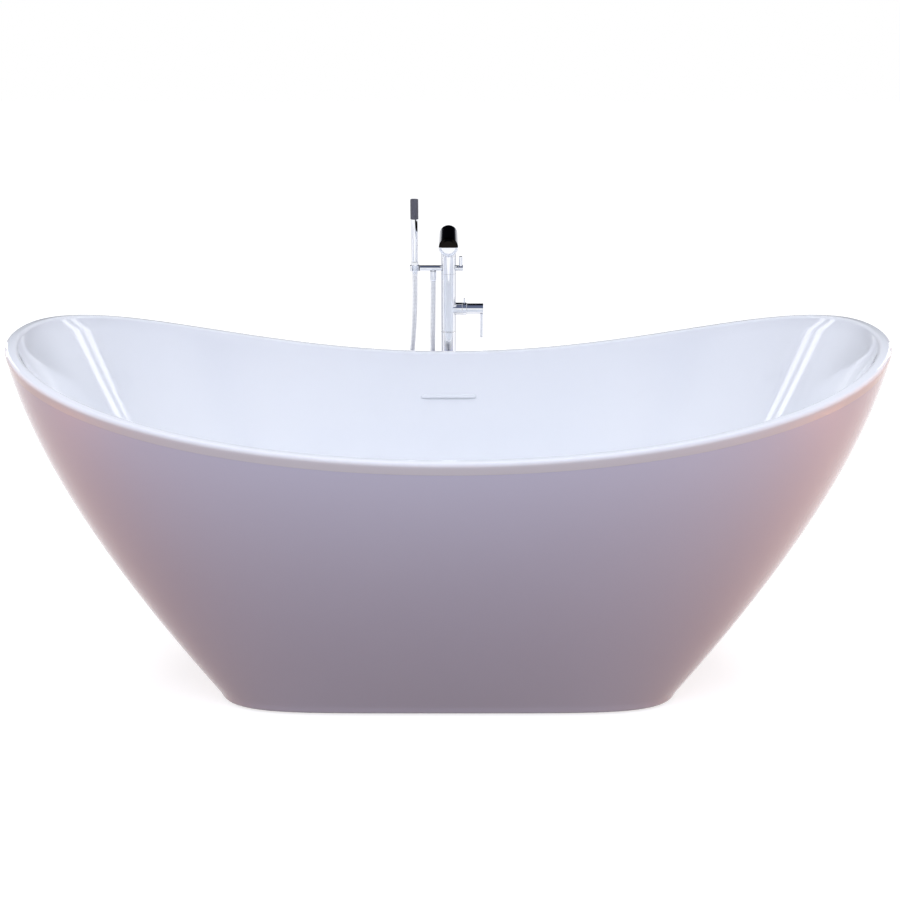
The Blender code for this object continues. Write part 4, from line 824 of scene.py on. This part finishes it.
def buildMixer(facts):
    low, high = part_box("valve_body")
    body = turned("mixerBody", "chrome", [
        (0, high.z, 0), (columnRadius, high.z, facts["jointEdge"]),
        (columnRadius, low.z, facts["footEdge"]),
        (0, low.z, 0)], columnFoot, roundSteps=3)
    carve(body, turned("branchTool", "chrome", [
        (0, facts["branchEnd"], 0), (facts["branchRadius"], facts["branchEnd"], facts["edge"]),
        (facts["branchRadius"], 0, 0), (0, 0, 0)], mixerAxis, "right"), "UNION")
    chamber = rodTool(mixerAxis + Vector((facts["branchEnd"] - facts["chamberDepth"], 0, 0)),
                      mixerAxis + Vector((facts["branchEnd"] + 0.01, 0, 0)), facts["chamberRadius"])
    carve(body, chamber)
    closePiece(body, "chrome", "root", "valve_body")

    ringLow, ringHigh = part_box("flow_ring")
    bore = facts["spindleBore"]
    ring = turned("flowRing", "chrome", [
        (bore, ringHigh.x, 0), (facts["branchRadius"], ringHigh.x, facts["edge"]),
        (facts["branchRadius"], ringLow.x, facts["edge"]), (bore, ringLow.x, 0)],
        mixerAxis, "right", closed=True, roundSteps=4)
    pinLow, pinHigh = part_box("flow_pin")
    pinRadius = (pinHigh.x - pinLow.x) / 2
    pinFoot = Vector(((pinLow.x + pinHigh.x) / 2, fillerY, 0))
    carve(ring, rodTool((pinFoot.x, fillerY, pinLow.z), (pinFoot.x, fillerY, pinHigh.z),
                        pinRadius + pinGap, 48))
    closePiece(ring, "chrome", "flow_control", "flow_ring")
    pin = roundedRod("flowPin", "chrome", pinRadius, pinLow.z, pinHigh.z, pinFoot, "up",
                     facts["pinRound"])
    closePiece(pin, "chrome", "flow_control", "flow_pin")

    capLow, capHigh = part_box("temperature_cap")
    capRadius = (capHigh.z - capLow.z) / 2
    socket = capLow.x + facts["capSocket"]
    cap = turned("temperatureHandle", "chrome", [
        (0, capHigh.x, 0), (capRadius, capHigh.x, facts["capRound"]),
        (capRadius, capLow.x, facts["edge"]), (bore, capLow.x, 0), (bore, socket, 0), (0, socket, 0)],
        mixerAxis, "right")
    leverLow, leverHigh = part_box("lever_rod")
    leverRadius = (leverHigh.x - leverLow.x) / 2
    leverFoot = Vector(((leverLow.x + leverHigh.x) / 2, fillerY, 0))
    carve(cap, rodTool((leverFoot.x, fillerY, leverHigh.z), (leverFoot.x, fillerY, leverLow.z),
                       leverRadius + pinGap, 48))
    closePiece(cap, "chrome", "temperature_control", "temperature_cap")
    lever = roundedRod("temperatureLever", "chrome", leverRadius, -leverHigh.z, -leverLow.z,
                       leverFoot, "down", facts["leverRound"])
    closePiece(lever, "chrome", "temperature_control", "lever_rod")


buildMixer(mixer)
print("column and mixer made")


# Crossbar, cradle, diverter and hose nut
crossbar = {
    "height": 0.7573,
    "edge": 0.0004,
    "topEdge": 0.0003,
    "jointEdge": 0.0001,
    "bossRadius": 0.0046,
    "bossEnd": 0.7373,
    "bossX": -0.0360,
    "swivelRadius": 0.0112,
    "swivelDepth": 0.017,
    "knobRound": 0.0008,
    "pinRound": 0.0010,
    "nutCone": 0.003,
    "cradleBoreTop": 0.0088,
    "cradleBoreBottom": 0.0066,
    "cradleMouth": 0.0126,
    "cradleRound": 0.0005,
    "spindleRadius": 0.0028,
    "spindleDepth": 0.0135,
}
crossbarAxis = Vector((0, fillerY, crossbar["height"]))
knobLow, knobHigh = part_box("diverter_knob")
barRadius = (knobHigh.y - knobLow.y) / 2
cradleLow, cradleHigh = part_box("shower_cradle")
cradleX = cradleLow.x + (cradleHigh.y - fillerY)
cradleFoot = Vector((cradleX, fillerY, 0))


def roundedEdges(piece, width, angle=50.0):
    edge = piece.modifiers.new("edges", "BEVEL")
    edge.width = width
    edge.segments = 2
    edge.limit_method = "ANGLE"
    edge.angle_limit = math.radians(angle)
    edge.harden_normals = False
    settle(piece)
    piece.data.shade_smooth()
    piece.data.set_sharp_from_angle(angle=math.radians(35))


def buildCrossbar(facts):
    low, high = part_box("crossbar_body")
    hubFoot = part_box("valve_body")[1].z + fitGap
    body = turned("crossbarHub", "chrome", [
        (0, high.z, 0), (columnRadius, high.z, facts["topEdge"]), (columnRadius, hubFoot, facts["jointEdge"]),
        (0, hubFoot, 0)], columnFoot, roundSteps=3)
    carve(body, rodTool((low.x, fillerY, facts["height"]), (high.x if high.x > columnRadius + 0.001
                        else knobLow.x - fitGap, fillerY, facts["height"]), barRadius, 64), "UNION")
    carve(body, rodTool((facts["bossX"], fillerY, facts["height"]),
                        (facts["bossX"], fillerY, facts["bossEnd"]), facts["bossRadius"], 48), "UNION")
    carve(body, rodTool((0, fillerY, high.z - facts["swivelDepth"]), (0, fillerY, high.z + 0.01),
                        facts["swivelRadius"]))
    carve(body, rodTool((knobLow.x - facts["spindleDepth"], fillerY, facts["height"]),
                        (knobLow.x + 0.01, fillerY, facts["height"]), facts["spindleRadius"], 32))
    closePiece(body, "chrome", "root", "crossbar_body")

    bore = facts["spindleRadius"]
    socket = (knobLow.x + knobHigh.x) / 2
    knob = turned("diverterHandle", "chrome", [
        (0, knobHigh.x, 0), (barRadius, knobHigh.x, facts["knobRound"]),
        (barRadius, knobLow.x, facts["edge"]), (bore, knobLow.x, 0), (bore, socket, 0), (0, socket, 0)],
        crossbarAxis, "right")
    pinLow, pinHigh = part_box("diverter_pin")
    pinRadius = (pinHigh.x - pinLow.x) / 2
    pinFoot = Vector(((pinLow.x + pinHigh.x) / 2, fillerY, 0))
    carve(knob, rodTool((pinFoot.x, fillerY, pinLow.z - 0.0001), (pinFoot.x, fillerY, pinHigh.z),
                        pinRadius + pinGap, 48))
    closePiece(knob, "chrome", "diverter", "diverter_knob")
    pin = roundedRod("diverterPeg", "chrome", pinRadius, pinLow.z, pinHigh.z, pinFoot, "up",
                     facts["pinRound"])
    closePiece(pin, "chrome", "diverter", "diverter_pin")

    outer = cradleHigh.y - fillerY
    cradle = turned("showerCradle", "chrome", [
        (facts["cradleBoreTop"], cradleHigh.z, 0), (outer, cradleHigh.z, 0), (outer, cradleLow.z, 0),
        (facts["cradleBoreBottom"], cradleLow.z, 0)], cradleFoot, closed=True)
    half = facts["cradleMouth"] / 2
    carve(cradle, boxTool((cradleX - half, fillerY - 0.02, cradleLow.z - 0.01),
                          (cradleX + half, fillerY, cradleHigh.z + 0.01), Matrix.Identity(4)))
    roundedEdges(cradle, facts["cradleRound"])
    closePiece(cradle, "chrome", "root", "shower_cradle")

    nutLow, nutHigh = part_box("hose_outlet_nut")
    nutRadius = (nutHigh.x - nutLow.x) / 2
    nut = turned("hoseNut", "chrome", [
        (facts["bossRadius"] + fitGap, nutHigh.z, 0), (nutRadius, nutHigh.z, 0.0004),
        (nutRadius, nutLow.z + facts["nutCone"], 0.0006),
        (hoseFacts["diameter"] / 2, nutLow.z, 0.0002), (0, nutLow.z, 0), (0, facts["bossEnd"] - fitGap, 0),
        (facts["bossRadius"] + fitGap, facts["bossEnd"] - fitGap, 0)],
        (facts["bossX"], fillerY, 0), closed=True)
    closePiece(nut, "chrome", "root", "hose_outlet_nut")


buildCrossbar(crossbar)
print("crossbar made")


# Spout
spout = {
    "paintedReflectionColour": (0.012, 0.010, 0.009),  # painted reflection: near-black on its upper half, for the dark surroundings mirrored there
    "endRound": 0.009,
    "neckEdge": 0.0004,
    "spigotRadius": 0.0110,
    "spigotDepth": 0.0168,
    "collarEdge": 0.0006,
    "insertRings": 4,
    "insertDepth": 0.0012,
}


def buildSpout(facts):
    low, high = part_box("spout")
    barrel = (high.x - low.x) / 2
    axisHeight = high.z - barrel
    reach = fillerY - low.y
    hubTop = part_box("crossbar_body")[1].z
    collarLow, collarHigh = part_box("spout_collar")
    body = turned("spoutBarrel", "chrome", [
        (0, reach, 0), (barrel, reach, facts["endRound"]), (barrel, fillerY - high.y, facts["endRound"]),
        (0, fillerY - high.y, 0)], (0, fillerY, axisHeight), "front", 128, roundSteps=10)
    neck = turned("neckTool", "chrome", [
        (0, axisHeight, 0), (columnRadius, axisHeight, 0),
        (columnRadius, collarHigh.z + fitGap, facts["neckEdge"]),
        (facts["spigotRadius"], collarHigh.z + fitGap, 0),
        (facts["spigotRadius"], hubTop - facts["spigotDepth"], 0), (0, hubTop - facts["spigotDepth"], 0)],
        columnFoot, roundSteps=3)
    carve(body, neck, "UNION")
    ringLow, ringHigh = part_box("aerator_ring")
    outletY = (ringLow.y + ringHigh.y) / 2
    ringRadius = (ringHigh.x - ringLow.x) / 2
    carve(body, rodTool((0, outletY, ringLow.z - 0.01), (0, outletY, ringHigh.z + 0.0004),
                        ringRadius + fitGap))
    closePiece(body, "chrome", "spout", "spout")
    # The upper half of the spout is coloured near-black: a painted reflection of the dark surroundings
    body.data.materials.clear()
    body.data.materials.append(makeChrome("paintedReflectionChrome", chromeLook | {
        "paintedReflectionAbove": axisHeight, "paintedReflectionColour": facts["paintedReflectionColour"]}))

    outer = (collarHigh.x - collarLow.x) / 2
    collar = turned("spoutCollar", "chrome", [
        (facts["spigotRadius"] + fitGap, collarHigh.z, 0), (outer, collarHigh.z, facts["collarEdge"]),
        (outer, collarLow.z, facts["collarEdge"]),
        (facts["spigotRadius"] + fitGap, collarLow.z, 0)], columnFoot, closed=True)
    closePiece(collar, "chrome", "root", "spout_collar")

    insertLow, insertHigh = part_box("aerator_insert")
    insertRadius = (insertHigh.x - insertLow.x) / 2
    ring = turned("aeratorRing", "chrome", [
        (insertRadius + fitGap, ringHigh.z, 0), (ringRadius, ringHigh.z, 0.0003),
        (ringRadius, ringLow.z, 0.0005), (insertRadius + fitGap, ringLow.z, 0.0003)],
        (0, outletY, 0), closed=True)
    closePiece(ring, "chrome", "spout", "aerator_ring")
    profile = [(0, insertHigh.z, 0), (insertRadius, insertHigh.z, 0), (insertRadius, insertLow.z, 0)]
    step = insertRadius / (2 * facts["insertRings"] + 1)
    deep = facts["insertDepth"]
    for number in range(2 * facts["insertRings"], 0, -1):
        height = insertLow.z + (deep if number % 2 else 0.0)
        other = insertLow.z + (0.0 if number % 2 else deep)
        profile += [(step * (number + 0.15), other if number < 2 * facts["insertRings"] else insertLow.z, 0),
                    (step * number, height, 0)]
    profile.append((0, profile[-1][1], 0))
    insert = turned("aeratorInsert", "grey_plastic", profile, (0, outletY, 0), steps=64)
    closePiece(insert, "grey_plastic", "spout", "aerator_insert")


buildSpout(spout)
print("spout made")


# Hand shower
handset = {
    "headRound": 0.0014,
    "headFoot": 0.0006,
    "handleFoot": 0.0073,
    "handleEdge": 0.0004,
    "shoulder": 0.0079,
    "coneTop": 0.0086,
    "coneBottom": 0.0064,
    "nutEdge": 0.0004,
}


def buildHandset(facts):
    headLow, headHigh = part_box("handset_head")
    headRadius = (headHigh.x - headLow.x) / 2
    head = turned("showerHead", "grey_plastic", [
        (0, headHigh.z, 0), (headRadius, headHigh.z, facts["headRound"]),
        (headRadius, headLow.z, facts["headFoot"]), (0, headLow.z, 0)], cradleFoot)
    closePiece(head, "grey_plastic", "hand_shower", "handset_head")
    low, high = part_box("handset_handle")
    topRadius = (high.x - low.x) / 2
    handle = turned("showerHandle", "chrome", [
        (0, high.z, 0), (topRadius, high.z, facts["handleEdge"]),
        (facts["handleFoot"], low.z, 0.0003), (0, low.z, 0)], cradleFoot)
    closePiece(handle, "chrome", "hand_shower", "handset_handle")
    nutLow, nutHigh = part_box("handset_nut")
    nut = turned("showerNut", "chrome", [
        (0, nutHigh.z, 0), (facts["shoulder"], nutHigh.z, facts["nutEdge"]),
        (facts["coneTop"], cradleHigh.z + 0.002, 0.0008), (facts["coneTop"], cradleHigh.z, 0),
        (facts["coneBottom"], cradleLow.z, 0), (facts["coneBottom"], nutLow.z, facts["nutEdge"]),
        (0, nutLow.z, 0)], cradleFoot)
    closePiece(nut, "chrome", "hand_shower", "handset_nut")


buildHandset(handset)
print("hand shower made")


# Finishes of the parts that stay as they are
slotOf = {}
for part in frame["record"]["subparts"]:
    if isinstance(part, dict):
        for node in part.get("nodes", [part.get("node")]):
            slotOf[node] = part.get("material_slot") or part.get("material")
for node, item in frame["nodes"].items():
    slot = slotOf.get(node)
    if slot in finishes:
        for place in item.material_slots:
            place.material = finishes[slot]
print("finishes given")


# Floor, surroundings and lamps
studio = {
    "floorSize": 60.0,
    "floorColour": (0.45, 0.45, 0.45),
    "floorGlow": 0.74,
    "floorUnseen": (0.03, 0.028, 0.055),  # what the floor sends up to the underside
    "ambientTop": (0.66, 0.68, 0.72),
    "ambientSide": (0.055, 0.055, 0.11),
    "ambientFrom": 0.05,
    "ambientTo": 0.85,
    "mirroredFront": (0.97, 0.98, 1.0),
    "mirroredBehind": (0.66, 0.68, 0.75),
    "darkFront": (0.13, 0.155, 0.24),
    "darkBehind": (0.008, 0.008, 0.012),
    "darkFrom": 0.10,
    "darkTo": 0.24,
    "darkLean": 0.20,  # the dark comes lower behind than in front
    "darkSides": (0.35, 0.7),  # it fades out to either side
    "darkTurn": (-0.4, 0.3),  # from the front's dark to the one behind
    "levelTurn": (0.1, 1.0),
}
lamps = {
    "overhead": {"kind": "SUN", "colour": (1.0, 0.985, 0.97), "power": 0.74, "spread": 1.1,
                 "place": (0, -0.4, 2.5), "aim": (0, 0, 0)},
    "frontFill": {"kind": "AREA", "colour": (0.82, 0.84, 1.0), "power": 26.0, "size": (2.4, 0.5),
                  "place": (0, -1.45, 2.3), "aim": (0, -0.45, 0.5)},
    "backFill": {"kind": "AREA", "colour": (1.0, 0.99, 0.97), "power": 30.0, "size": (1.2, 0.6),
                 "place": (0, 2.4, 1.6), "aim": (0, -0.3, 0.35)},
    "leftWarmth": {"kind": "AREA", "colour": (1.0, 0.36, 0.14), "power": 12.0, "size": (1.0, 0.6),
                   "place": (-2.1, -0.9, 0.15), "aim": (-0.6, -0.2, 0.15)},
    "rightWarmth": {"kind": "AREA", "colour": (1.0, 0.42, 0.20), "power": 16.0, "size": (1.0, 0.6),
                    "place": (2.1, -0.9, 0.20), "aim": (0.65, -0.2, 0.25)},
}
strips = {  # tall lamps behind each end, seen only as streaks in the basin's gloss
    "power": 7.5,
    "size": (0.32, 2.3),
    "places": ((2.52, 2.40, 2.05), (2.81, 1.92, 2.05)),
    "aim": (0.74, 0.08, 0.6),
}


def buildFloor(facts):
    bm = bmesh.new()
    bmesh.ops.create_grid(bm, x_segments=1, y_segments=1, size=facts["floorSize"] / 2)
    mesh = bpy.data.meshes.new("floor")
    bm.to_mesh(mesh)
    bm.free()
    floor = bpy.data.objects.new("floor", mesh)
    bpy.context.scene.collection.objects.link(floor)
    material = bpy.data.materials.new("studioFloor")
    material.use_nodes = True
    tree = material.node_tree
    tree.nodes.remove(tree.nodes["Principled BSDF"])
    path = tree.nodes.new("ShaderNodeLightPath")
    seen = (Wire(tree, path.outputs["Is Camera Ray"]) + Wire(tree, path.outputs["Is Glossy Ray"])
            + Wire(tree, path.outputs["Is Transmission Ray"])).limited()
    pale = seen.node("BsdfDiffuse", {}, {"Color": (*facts["floorColour"], 1.0)})
    glow = seen.node("Emission", {}, {"Color": (1, 1, 1, 1), "Strength": facts["floorGlow"]})
    both = seen.node("AddShader", {}, {0: pale, 1: glow})
    unseen = seen.node("BsdfDiffuse", {}, {"Color": (*facts["floorUnseen"], 1.0)})
    mix = seen.node("MixShader", {}, {0: seen, 1: unseen, 2: both})
    tree.links.new(mix.out, tree.nodes["Material Output"].inputs["Surface"])
    mesh.materials.append(material)


def buildWorld(facts):
    world = bpy.data.worlds.new("studio")
    bpy.context.scene.world = world
    world.use_nodes = True
    tree = world.node_tree
    background = tree.nodes["Background"]
    path = tree.nodes.new("ShaderNodeLightPath")
    camera = Wire(tree, path.outputs["Is Camera Ray"])
    glossy = Wire(tree, path.outputs["Is Glossy Ray"])
    direction = Wire(tree, tree.nodes.new("ShaderNodeTexCoord").outputs["Generated"])
    across, depth, height = (direction.node("SeparateXYZ", {}, {"Vector": direction}, axis)
                             for axis in range(3))
    beside = across.maths("ABSOLUTE", across, 0.0).between(*facts["darkSides"])
    dark = (height + depth * facts["darkLean"]).between(facts["darkFrom"], facts["darkTo"])
    upper = depth.between(*facts["darkTurn"]).mixed(facts["darkFront"], facts["darkBehind"])
    level = depth.between(*facts["levelTurn"]).mixed(facts["mirroredFront"], facts["mirroredBehind"])
    mirrored = (dark * (1 - beside)).mixed(level, upper)
    ambient = height.between(facts["ambientFrom"], facts["ambientTo"]).mixed(
        facts["ambientSide"], facts["ambientTop"])
    colour = camera.mixed(glossy.mixed(ambient, mirrored), (1.0, 1.0, 1.0))
    tree.links.new(colour.out, background.inputs["Color"])


def addLamp(name, kind, colour, power, place, aim, size=None, spread=None, unseen="visible_glossy"):
    data = bpy.data.lights.new(name, kind)
    data.energy = power
    data.color = colour
    if size:
        data.shape = "RECTANGLE"
        data.size, data.size_y = size
    if spread:
        data.angle = spread
    lamp = bpy.data.objects.new(name, data)
    towards = Vector(aim) - Vector(place)
    lamp.matrix_world = Matrix.Translation(place) @ towards.to_track_quat("-Z", "Y").to_matrix().to_4x4()
    setattr(lamp, unseen, False)
    bpy.context.scene.collection.objects.link(lamp)


def buildLamps():
    for name, facts in lamps.items():
        addLamp(name, **facts)
    aimX, aimY, aimZ = strips["aim"]
    for side, sign in (("right", 1), ("left", -1)):
        for number, (x, y, z) in enumerate(strips["places"]):
            addLamp(f"strip{number}_{side}", "AREA", (1, 1, 1), strips["power"], (sign * x, y, z),
                    (-sign * aimX, aimY, aimZ), strips["size"], unseen="visible_diffuse")


buildFloor(studio)
buildWorld(studio)
buildLamps()
print("studio made")
